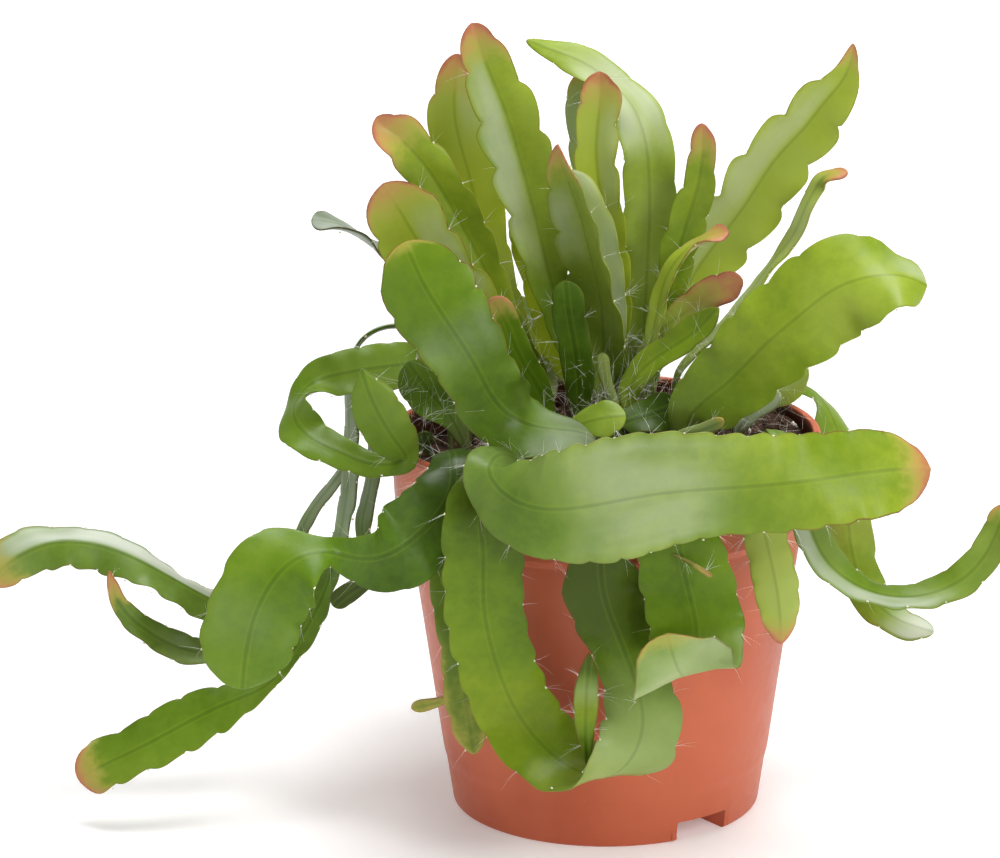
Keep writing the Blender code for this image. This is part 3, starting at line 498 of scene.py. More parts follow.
def leafSkin():
    made, nodes = freshMaterial("leafSkin")
    read, ramp, times, plus = nodes.attribute, nodes.ramp, nodes.times, nodes.plus
    patch = nodes.noise(nodes.coords, 30.0)
    mottle = nodes.noise(nodes.coords, 300.0, 3.0, 0.6)
    grain = nodes.noise(nodes.coords, 2600.0, 0.0)
    toEdge = read("toEdge")
    side = nodes.math("ABSOLUTE", read("ribSide"))
    beside = nodes.math("ABSOLUTE", nodes.math("SUBTRACT", side, 0.85))
    # painted shade and light: the stem's tone with its painted shading, and random patches, set how
    # dark the skin is
    shade = plus(read("tint"), ramp(patch, 0.25, 0.75, -0.26, 0.26))
    shade = plus(shade, ramp(mottle, 0.3, 0.7, -0.08, 0.08))
    drawnOut = {"X": times(read("along"), 0.03), "Y": times(read("ribSide"), 0.12)}
    streak = nodes.noise(nodes.add("CombineXYZ", drawnOut), 1.0)
    warmth = plus(read("warmth"), ramp(mottle, 0.3, 0.7, -0.1, 0.1))
    warmth = plus(warmth, ramp(toEdge, 2.2, 0.2, 0.0, 0.3))
    warmth = times(warmth, ramp(read("warmth"), 0.0, 0.12))
    edging = times(ramp(toEdge, 0.6, 0.15), read("rim"))
    layers = (
        (ramp(shade, -0.1, 1.1), skin["bright"]),
        (times(read("sun"), ramp(shade, -0.6, 0.8, 0.15, 0.75)), skin["yellow"]),
        # pale wax bloom, partly painted sheen where light lies on the stem
        (times(read("bloom"), ramp(patch, 0.35, 0.65, 0.2, 1.1)), skin["bloom"]),
        (times(read("glare"), ramp(streak, 0.3, 0.65, 0.4, 1.0)), skin["glare"]),
        (ramp(read("along"), 34.0, 12.0, 0.0, 0.6), skin["stalk"]),
        (ramp(beside, 0.4, 0.0, 0.0, 0.1), skin["bright"]),
        (ramp(side, 0.7, 0.1, 0.0, 0.22), skin["dark"]),
        (ramp(warmth, 0.05, 0.6, 0.0, 0.75), skin["olive"]),
        (ramp(warmth, 0.4, 1.0, 0.0, 0.7), skin["orange"]),
        (ramp(warmth, 0.75, 1.25, 0.0, 0.75), nodes.blend(read("rosy"), skin["red"], skin["pink"])),
        (times(edging, ramp(mottle, 0.35, 0.6, 0.35, 1.0)), skin["rim"]),
    )
    colour = nodes.blend(ramp(shade, -1.0, 0.0), skin["dark"], skin["mid"])
    for amount, paint in layers:
        colour = nodes.blend(amount, colour, paint)
    fine = nodes.bump(plus(times(mottle, 0.6), times(grain, 0.12)), 0.35, 0.0004)
    nodes.finish({"Base Color": colour, "Normal": nodes.bump(patch, 0.5, 0.0015, fine),
                  "Roughness": ramp(mottle, 0.3, 0.7, 0.28, 0.40), "Specular IOR Level": 0.17})
    return made


blade = {
    "soilTop": 98.0, "rootDepth": 10.0, "rootLength": 10.0, "rootShare": 0.3,
    "taper": 35.0, "stalk": 0.22, "tipRound": 0.62, "bare": 24.0,
    "tipTurn": 0.485 * math.pi,  # how far the round end closes
    "leastShare": 0.2, "mostShare": 1.1, "leastHalf": 0.02,
    "step": 0.85,
    "tipSteps": 11,
    "columns": (0.06, 0.18, 0.38, 0.6, 0.8, 0.93, 0.985, 1.0),
    "ribThick": 1.0, "edgeThick": 0.22,
    "midrib": 0.1, "midribWide": 0.7,
    "flutter": 0.85, "flutterLength": 15.0, "pucker": 0.4, "fullHalf": 7.0,
    "sharpFold": 9.0, "sharp": 0.04, "soft": 0.4,  # folds over sharpFold degrees have a crease
    "lobeSizes": (0.6, 1.25), "lobeEarly": 3.0, "lobeFade": 9.0,
    "opening": (0.7, 1.6), "closing": (0.72, 2.2),  # of a notch: share of the lobe, and power
    "bulge": (3, 0.6), "tipThin": 0.3, "puckerPower": 2.5,
    "glareFade": 0.12, "glarePast": 0.1, "glareAcross": 0.25, "glareEdge": 0.2,
    "shadeReach": 62.0, "shadeDepth": 0.7,
    "blushStart": 1.12, "rimLeast": 0.3, "rimStart": 1.3, "rimReach": 40.0,
    "shootAge": 40.0,  # how far from the soil a shoot's skin looks to be
}

ways = {
    "L": (-1, 0, 0), "R": (1, 0, 0), "F": (0, -1, 0),
    "B": (0, 1, 0), "U": (0, 0, 1), "D": (0, 0, -1),
}


def wayOf(word):
    total = np.sum([ways[letter] for letter in word], axis=0).astype(float)
    return total / np.linalg.norm(total)


def knotOf(x, y, z, word="F", share=1.0):
    return [x, y, z, *wayOf(word), share]


def knotsOf(path, root):
    rows = [knotOf(*knot) for knot in path]
    if root is not None:
        facing = rows[0][3:6]
        share = blade["rootShare"]
        rows[:0] = [[*root, blade["soilTop"] - blade["rootDepth"], *facing, share],
                    [*root, blade["soilTop"], *facing, share]]
    return np.array(rows)


def smoothRows(knots, distances):  # natural cubic curve through the knots
    steps = np.linalg.norm(np.diff(knots[:, :3], axis=0), axis=1)
    marks = np.concatenate([[0.0], np.cumsum(steps)])
    count = len(knots)
    left = np.eye(count)
    right = np.zeros_like(knots)
    for i in range(1, count - 1):
        left[i, i - 1:i + 2] = steps[i - 1], 2 * (steps[i - 1] + steps[i]), steps[i]
        right[i] = 6 * ((knots[i + 1] - knots[i]) / steps[i]
                        - (knots[i] - knots[i - 1]) / steps[i - 1])
    bends = np.linalg.solve(left, right)
    index = np.clip(np.searchsorted(marks, distances, side="right") - 1, 0, count - 2)
    span = steps[index][:, None]
    after = (distances[:, None] - marks[index][:, None]) / span
    before = 1 - after
    cubic = (before ** 3 - before) * bends[index] + (after ** 3 - after) * bends[index + 1]
    return before * knots[index] + after * knots[index + 1] + cubic * span ** 2 / 6


def unit(rows):
    return rows / np.linalg.norm(rows, axis=-1, keepdims=True)


def smooth(values):
    values = np.clip(values, 0.0, 1.0)
    return values ** 2 * (3 - 2 * values)


def wander(distances, length, seed):  # slow random wave along a stem
    marks = np.random.default_rng(seed).normal(size=int(distances[-1] / length) + 4)
    place = distances / length + 1
    index = place.astype(int)
    return marks[index] + (marks[index + 1] - marks[index]) * smooth(place - index)


def layOut(width, path, root, look, seed):
    knots = knotsOf(path, root)
    bare = blade["bare"] if root is not None else 0.0
    length = np.linalg.norm(np.diff(knots[:, :3], axis=0), axis=1).sum()
    roundEnd = blade["tipRound"] * width
    lobes = max(1, round((length - bare - roundEnd) / look.span))
    lobeLength = (length - bare - roundEnd) / lobes
    count = round((length - roundEnd) / blade["step"])
    body = np.linspace(0.0, length - roundEnd, count, endpoint=False)
    turn = np.linspace(0.0, blade["tipTurn"], blade["tipSteps"])
    distances = np.concatenate([body, length - roundEnd * (1 - np.sin(turn))])
    rows = smoothRows(knots, distances)
    ahead = unit(np.gradient(rows[:, :3], axis=0))
    facing = unit(rows[:, 3:6] - (rows[:, 3:6] * ahead).sum(axis=1)[:, None] * ahead)
    grown = smooth((distances - (blade["rootLength"] if root is not None else 0.0)) / blade["taper"])
    grown = blade["stalk"] + (1 - blade["stalk"]) * grown
    leftIn = np.clip((length - distances) / roundEnd, 0.0, 1.0)
    rounded = np.sqrt(1 - (1 - leftIn) ** 2)
    share = np.clip(rows[:, 6], blade["leastShare"], blade["mostShare"])
    half = width / 2 * np.maximum(grown * rounded * share, blade["leastHalf"])
    lobesFrom = bare - blade["lobeEarly"] if root is not None else 0.0
    fade = smooth((distances - lobesFrom) / blade["lobeFade"])
    (opened, opening), (closed, closing) = blade["opening"], blade["closing"]
    halves, phases = [], []
    for which, offset in enumerate((0.0, 0.5)):
        phase = np.maximum((distances - bare) / lobeLength + offset, 0.0)
        part = phase % 1
        sizes = np.random.default_rng(seed + which).uniform(*blade["lobeSizes"], lobes + 8)
        notch = (1 - np.minimum(part / opened, 1)) ** opening
        notch += np.maximum((part - closed) / (1 - closed), 0) ** closing
        halves.append(half * (1 - look.lobe * sizes[phase.astype(int)] * notch * fade))
        phases.append(phase)
    return {"places": rows[:, :3], "ahead": ahead, "facing": facing,
            "across": np.cross(ahead, facing), "halves": halves, "phases": phases,
            "rounded": rounded, "distances": distances, "length": length, "bare": bare,
            "lobeLength": lobeLength, "lobes": lobes}


def bladeMesh(name, columns, stations):  # a flat closed slab, one cell for each step
    bm = bmesh.new()
    bmesh.ops.create_grid(bm, x_segments=columns - 1, y_segments=stations - 1, size=1.0)
    made = bmesh.ops.extrude_face_region(bm, geom=bm.faces[:])
    upper = [item for item in made["geom"] if isinstance(item, bmesh.types.BMVert)]
    bmesh.ops.translate(bm, vec=(0, 0, 1), verts=upper)
    bmesh.ops.recalc_face_normals(bm, faces=bm.faces)
    return meshOf(name, bm)


def glareOf(name, u, share):
    most = np.zeros(len(u))
    for start, end, strength, which in glare.get(name, ()):
        inside = smooth((share - start) / blade["glareFade"])
        inside *= smooth((end + blade["glarePast"] - share) / blade["glareFade"])
        inside *= smooth((1 - np.abs(u)) / blade["glareEdge"])
        if which:
            inside *= smooth(u * which / blade["glareAcross"])
        most = np.maximum(most, strength * inside)
    return most


def alongStem(values, share):  # one number or several, read at each share of the length
    values = np.atleast_1d(values)
    return np.interp(share, np.linspace(0, 1, len(values)), values)


def sideOf(u, station, pair):  # the value of the half that each point lies on
    return np.where(u < 0, pair[0][station], pair[1][station])


def liftOf(u, station, half, fold, plan, seed):  # how far the middle of the blade rises
    soft = blade["sharp"] if abs(fold) > blade["sharpFold"] else blade["soft"]
    rise = (np.sqrt(u ** 2 + soft ** 2) - soft) / (math.sqrt(1 + soft ** 2) - soft)
    waves = [wander(plan["distances"], blade["flutterLength"], seed + 10 + way) for way in (0, 1)]
    phase = sideOf(u, station, plan["phases"])
    pucker = blade["pucker"] * np.sin(math.tau * phase) * smooth(phase)
    pucker = pucker * np.abs(u) ** blade["puckerPower"]
    slimness = np.clip(half / blade["fullHalf"], 0.0, 1.0)  # narrow blades lie flatter
    flutter = blade["flutter"] * sideOf(u, station, waves) * u ** 2
    return half * math.sin(math.radians(fold)) * rise + (flutter + pucker) * slimness


def paintBlade(mesh, plan, look, u, side, half, distance, glareName):
    toTip = plan["length"] - distance
    share = distance / plan["length"]
    rooted = plan["bare"] > 0
    shade = blade["shadeDepth"] * smooth(1 - distance / blade["shadeReach"]) * rooted
    rim = smooth(blade["rimStart"] - toTip / blade["rimReach"])
    values = {
        "along": distance if rooted else distance + blade["shootAge"],
        "toEdge": (1 - np.abs(u)) * half,
        "ribSide": side,
        # the stem's tone with painted shade and light along it, less painted shade near the soil
        "tint": alongStem(look.tint, share) - shade,
        "sun": alongStem(look.sun, share),
        "glare": glareOf(glareName, u, share),
        # pale wax bloom, partly painted sheen
        "bloom": alongStem(look.bloom, share),
        "warmth": look.blush * np.clip(blade["blushStart"] - toTip / look.reach, 0.0, 1.0),
        "rosy": np.full(len(u), look.rosy),
        "rim": look.rim * (blade["rimLeast"] + (1 - blade["rimLeast"]) * rim),
    }
    for name, numbers in values.items():
        setAttribute(mesh, name, numbers)


def shapeBlade(name, fold, plan, look, seed, glareName=""):
    shares = np.array([-share for share in reversed(blade["columns"])] + [0.0, *blade["columns"]])
    stations = len(plan["distances"])
    mesh = bladeMesh(name, len(shares), stations)
    flat = placesOf(mesh)
    column = np.rint((flat[:, 0] + 1) / 2 * (len(shares) - 1)).astype(int)
    station = np.rint((flat[:, 1] + 1) / 2 * (stations - 1)).astype(int)
    upper = np.where(flat[:, 2] > 0.5, 1.0, -1.0)
    u = shares[column]
    half = sideOf(u, station, plan["halves"])
    side = u * half * math.cos(math.radians(fold))
    inner, outer = blade["bulge"]
    atTip = blade["tipThin"] + (1 - blade["tipThin"]) * plan["rounded"][station]
    thick = (1 - np.abs(u) ** inner) ** outer * blade["ribThick"] * atTip + blade["edgeThick"]
    thick = thick + 2 * blade["midrib"] * np.exp(-(side / blade["midribWide"]) ** 2)
    lift = liftOf(u, station, half, fold, plan, seed) + upper * thick / 2
    setPlaces(mesh, plan["places"][station] + plan["across"][station] * side[:, None]
              + plan["facing"][station] * lift[:, None])
    paintBlade(mesh, plan, look, u, side, half, plan["distances"][station], glareName)
    return mesh


def areolesOf(plan, fold):  # one at each notch, as place, outward, facing and ahead
    found = []
    lean = math.radians(fold)
    for way, offset in ((-1, 0.0), (1, 0.5)):
        for index in range(1, plan["lobes"] + 2):
            distance = plan["bare"] + (index - offset) * plan["lobeLength"]
            if distance > plan["length"] - 1.0:
                continue
            station = np.searchsorted(plan["distances"], distance)
            half = plan["halves"][0 if way < 0 else 1][station]
            across = plan["across"][station] * way
            facing = plan["facing"][station]
            place = (plan["places"][station] + across * half * math.cos(lean)
                     + facing * half * math.sin(lean))
            found.append((place, across, facing, plan["ahead"][station], distance))
    return found


def camelName(name):
    first, *rest = name.split("_")
    return first + "".join(word.capitalize() for word in rest)


def makeStems():
    material = leafSkin()
    areoles = []
    total = 0
    for number, (name, stem) in enumerate(stems.items()):
        look = looks[name]
        blades = [(stem.width, stem.fold, stem.path, stem.root)]
        blades += [(*shoot, None) for shoot in stem.shoots]
        for part, (width, fold, path, root) in enumerate(blades):
            seed = 100 * number + 20 * part
            plan = layOut(width, path, root, look, seed)
            label = camelName(name) + ("Shoot" if part else "")
            mesh = shapeBlade(label, fold, plan, look, seed, "" if part else name)
            nodes = () if part else ("stem_" + name,)
            addPiece(label, mesh, material, nodes)
            areoles += areolesOf(plan, fold)
            total += len(mesh.polygons)
    print("stems made:", total, "faces,", len(areoles), "areoles")
    return areoles


areoles = makeStems()

hair = {
    "perNotch": (0, 1, 1, 2, 2, 3),
    "low": 3, "lowReach": 62.0,  # so many more at notches this near the soil
    "shortest": 2.5, "usual": 4.0, "longest": 9.0,
    "sunk": 0.15, "bend": 0.12, "droop": 0.1,
    "thick": 0.037,
    "nub": 0.29, "nubAcross": 0.8, "nubAlong": 1.3,
    "proud": 2.0,  # how far a hair may leave the solids' box
    "colour": (0.86, 0.86, 0.74), "pale": (0.95, 0.95, 0.9),
    "nubColour": (0.75, 0.70, 0.45),
}

tangles = {  # place, count, spread, longest
    "crownLeft": ((-8, -8, 119), 60, (5, 5, 5), 12.0),
    "crownMiddle": ((4, -10, 119), 70, (7, 6, 5), 12.0),
    "crownRight": ((18, -6, 121), 70, (6, 5, 5), 11.0),
    "betweenTips": ((24, -4, 131), 26, (6, 4, 5), 10.0),
    "leftNest": ((-50, -30, 121), 46, (5, 4, 4), 10.0),
    "leftStar": ((-56, -25, 126), 14, (1.5, 1.5, 1.5), 9.0),
    "rightStar": ((50, 8, 118), 22, (1.5, 1.5, 1.5), 10.0),
    "rimRight": ((44, -12, 112), 26, (6, 5, 2), 10.0),
    "rimBack": ((8, 44, 110), 90, (15, 3, 2.5), 9.0),
}


def hairMaterial():
    made, nodes = freshMaterial("whiteHair")
    cloud = nodes.noise(nodes.coords, 400.0)
    nodes.finish({"Base Color": nodes.blend(cloud, hair["colour"], hair["pale"]),
                  "Roughness": nodes.ramp(cloud, 0.0, 1.0, 0.45, 0.6)})
    return made


def nubMaterial():
    made, nodes = freshMaterial("areoleWool")
    cloud = nodes.noise(nodes.coords, 900.0, 3.0)
    nodes.finish({"Base Color": nodes.blend(cloud, hair["nubColour"], hair["colour"]),
                  "Roughness": 0.8, "Normal": nodes.bump(cloud, 0.6, 0.0003)})
    return made


def rodTemplate(sides=3, cuts=2):  # a rod of unit radius from height 0 to 1
    bm = bmesh.new()
    bmesh.ops.create_cone(bm, cap_ends=True, segments=sides, radius1=1, radius2=1, depth=1)
    upright = [edge for edge in bm.edges if abs(edge.verts[0].co.z - edge.verts[1].co.z) > 0.5]
    bmesh.ops.subdivide_edges(bm, edges=upright, cuts=cuts, use_grid_fill=True)
    bmesh.ops.translate(bm, vec=(0, 0, 0.5), verts=bm.verts)
    bmesh.ops.recalc_face_normals(bm, faces=bm.faces)
    return meshOf("rod", bm)


def copiesOf(name, template, count):  # one mesh of many copies, and the template's places
    bm = bmesh.new()
    for _ in range(count):
        bm.from_mesh(template)
    local = placesOf(template)
    mesh = meshOf(name, bm)
    bpy.data.meshes.remove(template)
    return mesh, local


def strands(name, roots, ways, sags, lengths, thick, material):
    mesh, local = copiesOf(name, rodTemplate(), len(roots))
    share = local[None, :, 2:3]
    helper = np.where(np.abs(ways[:, 2:3]) < 0.9, [[0.0, 0.0, 1.0]], [[1.0, 0.0, 0.0]])
    first = unit(np.cross(ways, helper))
    second = np.cross(first, ways)  # keeps first, second and the way right-handed
    girth = thick[:, None, None] * (1 - 0.8 * share)
    ring = -local[None, :, 0:1] * first[:, None] + local[None, :, 1:2] * second[:, None]
    spine = (ways[:, None] * share + sags[:, None] * share ** 2) * lengths[:, None, None]
    setPlaces(mesh, (roots[:, None] + spine + ring * girth).reshape(-1, 3))
    return addPiece(name, mesh, material)


def makeHairs(areoles):
    roots, ways, sags, lengths = [], [], [], []
    for place, across, facing, ahead, distance in areoles:
        low = hair["low"] if distance < hair["lowReach"] else 0
        for _ in range(chance.choice(hair["perNotch"]) + low):
            a, b, c = chance.normal(size=3)
            way = across * (0.9 + 0.2 * a) + ahead * (0.55 + 0.5 * b) + facing * 0.75 * c
            roots.append(place - across * hair["sunk"])
            ways.append(way)
            sags.append(chance.normal(size=3) * hair["bend"] + (0, 0, -hair["droop"]))
            lengths.append(chance.triangular(hair["shortest"], hair["usual"], hair["longest"]))
    for place, count, spread, longest in tangles.values():
        for _ in range(count):
            roots.append(np.array(place) + chance.normal(size=3) * spread)
            ways.append(chance.normal(size=3) + (0, 0, 0.3))
            sags.append(chance.normal(size=3) * 0.25)
            lengths.append(chance.uniform(0.4, 1.0) * longest)
    roots, ways, sags, lengths = map(np.array, (roots, unit(np.array(ways)), sags, lengths))
    ends = roots + ways * lengths[:, None]
    low, high = [np.array(corner) / mm for corner in cadBox]
    inside = np.all((ends > low - hair["proud"]) & (ends < high + hair["proud"]), axis=1)
    roots, ways, sags, lengths = (rows[inside] for rows in (roots, ways, sags, lengths))
    thick = hair["thick"] * chance.uniform(0.7, 1.2, len(roots))
    strands("marginHairs", roots, ways, sags, lengths, thick, hairMaterial())
    print("hairs made:", len(roots))


def makeNubs(areoles):
    bm = bmesh.new()
    bmesh.ops.create_icosphere(bm, subdivisions=1, radius=1.0)
    mesh, local = copiesOf("areoleNubs", meshOf("nub", bm), len(areoles))
    places, across, facing, ahead = (
        np.array([row[part] for row in areoles])[:, None] for part in range(4))
    size = hair["nub"] * chance.uniform(0.6, 1.2, len(areoles))[:, None, None]
    shape = (across * local[None, :, 0:1] * hair["nubAcross"]
             + ahead * local[None, :, 1:2] * hair["nubAlong"] + facing * local[None, :, 2:3])
    setPlaces(mesh, (places + shape * size).reshape(-1, 3))
    addPiece("areoleNubs", mesh, nubMaterial())


makeHairs(areoles)
makeNubs(areoles)

pot = {
    "height": 107.5, "rim": 60.0, "collarBottomRadius": 58.6, "collarBottom": 86.0,
    "shoulder": 55.4, "shoulderHeight": 83.5, "stepTop": 16.0, "stepBottom": 13.0,
    "stepTopRadius": 45.9, "stepBottomRadius": 45.1, "base": 43.2, "wall": 1.5, "lip": 2.2,
    "sides": 168, "sharpEdge": 32,
    "drainAngles": (36.6, 216.6), "drainWidth": 17.0, "drainHeight": 5.8,
    "drainInner": 27.0, "drainOuter": 52.0,
    "holes": 6, "holeRadius": 3.5, "holeRing": 20.0,
    "colour": (0.55, 0.130, 0.058),
    "deep": (0.47, 0.098, 0.043),
    # painted shade on the upper inner wall, under the rim
    "inner": (0.09, 0.022, 0.012),
    "scuffed": (0.75, 0.45, 0.38),
}


def potMaterial():
    made, nodes = freshMaterial("pottedPlastic")
    ramp = nodes.ramp
    cloud = nodes.noise(nodes.coords, 26.0, 3.0)
    flow = nodes.noise(nodes.coords, 60.0, 3.0, 0.5, (1.0, 1.0, 0.08))
    grain = nodes.noise(nodes.coords, 3800.0)
    scuff = nodes.noise(nodes.coords, 240.0, 5.0, 0.7)
    # painted shade: the upper inner wall, under the rim, is painted dark brown
    inside = nodes.times(ramp(nodes.radius(), 0.0579, 0.0575), ramp(nodes.axis("Z"), 0.0885, 0.0895))
    colour = nodes.blend(ramp(cloud, 0.3, 0.7), pot["deep"], pot["colour"])
    colour = nodes.blend(ramp(flow, 0.35, 0.65, 0.0, 0.35), colour, pot["colour"])
    colour = nodes.blend(ramp(scuff, 0.66, 0.8, 0.0, 0.12), colour, pot["scuffed"])
    colour = nodes.blend(inside, colour, pot["inner"])
    height = nodes.plus(nodes.times(grain, 0.5), nodes.times(flow, 0.4))
    nodes.finish({"Base Color": colour, "Roughness": ramp(scuff, 0.3, 0.75, 0.38, 0.5),
                  "Normal": nodes.bump(height, 0.12, 0.0003), "Specular IOR Level": 0.25})
    return made


def roundedProfile(points, pieces=4):  # each point: radius, height, corner radius
    made = []
    for index, (radius, height, corner) in enumerate(points):
        here = np.array((radius, height), float)
        if corner == 0 or index in (0, len(points) - 1):
            made.append(tuple(here))
            continue
        before = np.array(points[index - 1][:2], float) - here
        after = np.array(points[index + 1][:2], float) - here
        start = here + before / np.linalg.norm(before) * corner
        end = here + after / np.linalg.norm(after) * corner
        for t in np.linspace(0, 1, pieces + 1):
            made.append(tuple((1 - t) ** 2 * start + 2 * t * (1 - t) * here + t ** 2 * end))
    return made


def spun(profile, sides):
    bm = bmesh.new()
    points = [bm.verts.new((radius, 0.0, height)) for radius, height in profile]
    edges = [bm.edges.new(pair) for pair in zip(points, points[1:])]
    bmesh.ops.spin(bm, geom=points + edges, cent=(0, 0, 0), axis=(0, 0, 1),
                   angle=math.tau, steps=sides, use_merge=True)
    bmesh.ops.remove_doubles(bm, verts=bm.verts, dist=0.001)
    bmesh.ops.recalc_face_normals(bm, faces=bm.faces)
    return bm


def block(angle, near, far, width, bottom, top, edge=0.0):
    bm = bmesh.new()
    bmesh.ops.create_cube(bm, size=1.0)
    bmesh.ops.scale(bm, vec=(width, far - near, top - bottom), verts=bm.verts)
    bmesh.ops.translate(bm, vec=(0, -(near + far) / 2, (bottom + top) / 2), verts=bm.verts)
    bmesh.ops.rotate(bm, cent=(0, 0, 0), verts=bm.verts,
                     matrix=Matrix.Rotation(math.radians(angle), 3, "Z"))
    if edge:
        bmesh.ops.bevel(bm, geom=bm.edges[:], offset=edge, segments=2, profile=0.5,
                        affect="EDGES", material=-1)
    return bm


def rod(x, y, radius, bottom, top, sides):
    bm = bmesh.new()
    bmesh.ops.create_cone(bm, cap_ends=True, segments=sides, radius1=radius, radius2=radius,
                          depth=top - bottom)
    bmesh.ops.translate(bm, vec=(x, y, (bottom + top) / 2), verts=bm.verts)
    return bm


def joinOrCut(bm, others, operation):
    group = bpy.data.collections.new("cutters")
    bpy.context.scene.collection.children.link(group)
    thing = placed("work", meshOf("work", bm))
    for other in others:
        group.objects.link(bpy.data.objects.new("cutter", meshOf("cutter", other)))
    step = thing.modifiers.new("step", "BOOLEAN")
    step.operation = operation
    step.operand_type = "COLLECTION"
    step.collection = group
    step.solver = "EXACT"
    bpy.context.view_layer.update()
    seen = thing.evaluated_get(bpy.context.evaluated_depsgraph_get())
    made = bmesh.new()
    made.from_mesh(seen.to_mesh())
    for cutter in list(group.objects):
        bpy.data.objects.remove(cutter)
    bpy.data.collections.remove(group)
    bpy.data.objects.remove(thing)
    return made


def makePot():
    rim, height, wall, lip = pot["rim"], pot["height"], pot["wall"], pot["lip"]
    outside = [
        (0.0, 0.0, 0), (pot["base"], 0.0, 1.1), (pot["stepBottomRadius"], pot["stepBottom"], 0.5),
        (pot["stepTopRadius"], pot["stepTop"], 0.8), (pot["shoulder"], pot["shoulderHeight"], 0.5),
        (pot["collarBottomRadius"], pot["collarBottom"], 0.8), (rim - 0.5, height - 3.0, 0.4),
        (rim, height - 1.9, 0.5), (rim, height, 1.2)]
    inside = [
        (rim - lip, height, 0.5), (rim - lip - 0.3, height - 2.0, 0.4),
        (pot["collarBottomRadius"] - wall, pot["collarBottom"] + 1.0, 0.6),
        (pot["shoulder"] - wall, pot["shoulderHeight"] + 1.0, 0.6),
        (pot["stepTopRadius"] - wall, pot["stepTop"], 0.5), (pot["base"] - wall, wall, 1.2),
        (0.0, wall, 0)]
    bm = spun(roundedProfile(outside + inside), pot["sides"])
    covers = [block(angle, pot["drainInner"] - wall, pot["base"] - 0.5,
                    pot["drainWidth"] + 2 * wall, wall / 2, pot["drainHeight"] + wall)
              for angle in pot["drainAngles"]]
    bm = joinOrCut(bm, covers, "UNION")
    cutters = [block(angle, pot["drainInner"], pot["drainOuter"], pot["drainWidth"], -2.0,
                     pot["drainHeight"], 0.3) for angle in pot["drainAngles"]]
    for index in range(pot["holes"]):
        turn = math.tau * (index + 0.5) / pot["holes"]
        cutters.append(rod(pot["holeRing"] * math.cos(turn), pot["holeRing"] * math.sin(turn),
                           pot["holeRadius"], -2.0, 2 * wall, 32))
    bm = joinOrCut(bm, cutters, "DIFFERENCE")
    bmesh.ops.scale(bm, vec=(mm, mm, mm), verts=bm.verts)
    for edge in bm.edges:
        edge.smooth = edge.calc_face_angle(0.0) < math.radians(pot["sharpEdge"])
    addPiece("finePot", meshOf("finePot", bm), potMaterial(), ("pot",))
    print("pot made")


makePot()

soil = {
    "top": 98.0, "sides": 132, "ringStep": 1.3, "gap": 0.3, "underside": 24.0,
    "mounds": ((46.0, 18.0, 9.5, 26.0), (8.0, 44.0, 6.5, 30.0)),  # x, y, height, reach
    "sunk": 0.8, "relief": ((9.0, 1.1, 3.0), (2.2, 0.7, 8.0)),  # length, height, noise level
    "crumbs": 1500, "crumbSizes": (0.4, 1.9), "crumbReach": 55.5,
    "fibres": 420, "fibreReach": 53.0,
    "perlite": 46, "perliteSizes": (0.5, 1.5),
    "perliteByRim": ((53.2, 13.0, 105.0), (53.6, 10.0, 105.4)),
    "dark": (0.020, 0.010, 0.007),
    "brown": (0.085, 0.040, 0.024),
    "light": (0.24, 0.135, 0.075),
    "white": (0.78, 0.74, 0.66), "pit": (0.42, 0.33, 0.25),
}


def soilHeight(x, y):
    mound = max(high * float(smooth(1 - math.hypot(x - left, y - back) / reach))
                for left, back, high, reach in soil["mounds"])
    relief = sum(high * noise.noise(Vector((x, y, level)) / length)
                 for length, high, level in soil["relief"])
    return soil["top"] - soil["sunk"] + mound + relief


def soilMaterial(name, attribute=None):
    made, nodes = freshMaterial(name)
    clods = nodes.noise(nodes.coords, 350.0, 5.0, 0.65)
    grit = nodes.noise(nodes.coords, 1600.0, 4.0, 0.7)
    colour = nodes.blend(nodes.ramp(clods, 0.35, 0.65), soil["dark"], soil["brown"])
    colour = nodes.blend(nodes.ramp(grit, 0.62, 0.75, 0.0, 0.6), colour, soil["light"])
    if attribute:
        colour = nodes.blend(nodes.attribute(attribute), colour, soil["light"])
    height = nodes.plus(clods, nodes.times(grit, 0.5))
    nodes.finish({"Base Color": colour, "Roughness": nodes.ramp(grit, 0.3, 0.7, 0.8, 0.98),
                  "Normal": nodes.bump(height, 0.9, 0.0012), "Specular IOR Level": 0.25})
    return made


def perliteMaterial():
    made, nodes = freshMaterial("perlite")
    pits = nodes.noise(nodes.coords, 1500.0, 3.0, 0.6)
    nodes.finish({"Base Color": nodes.blend(nodes.ramp(pits, 0.3, 0.6), soil["pit"], soil["white"]),
                  "Roughness": 0.85, "Normal": nodes.bump(pits, 0.8, 0.0006)})
    return made


def makeSoil():
    wall, gap = pot["wall"], soil["gap"]
    reach = pot["shoulder"] - wall - gap
    topReach = pot["collarBottomRadius"] - wall - gap
    rings = np.arange(topReach, 0.0, -soil["ringStep"])
    profile = [
        (0.0, wall + gap), (soil["underside"], wall + gap),
        (soil["underside"], pot["drainHeight"] + wall + gap),
        (pot["base"] - wall - gap, pot["drainHeight"] + wall + gap),
        (pot["stepTopRadius"] - wall - gap, pot["stepTop"]), (reach, pot["shoulderHeight"] + 1.0),
        (topReach, pot["collarBottom"] + 1.5)]
    profile += [(radius, soil["top"]) for radius in rings] + [(0.0, soil["top"])]
    bm = spun(profile, soil["sides"])
    for vert in bm.verts:
        if vert.co.z > soil["top"] - 0.5:
            vert.co.z = soilHeight(vert.co.x, vert.co.y)
    bmesh.ops.scale(bm, vec=(mm, mm, mm), verts=bm.verts)
    addPiece("pottingSoil", meshOf("pottingSoil", bm), soilMaterial("peat"), ("soil",))


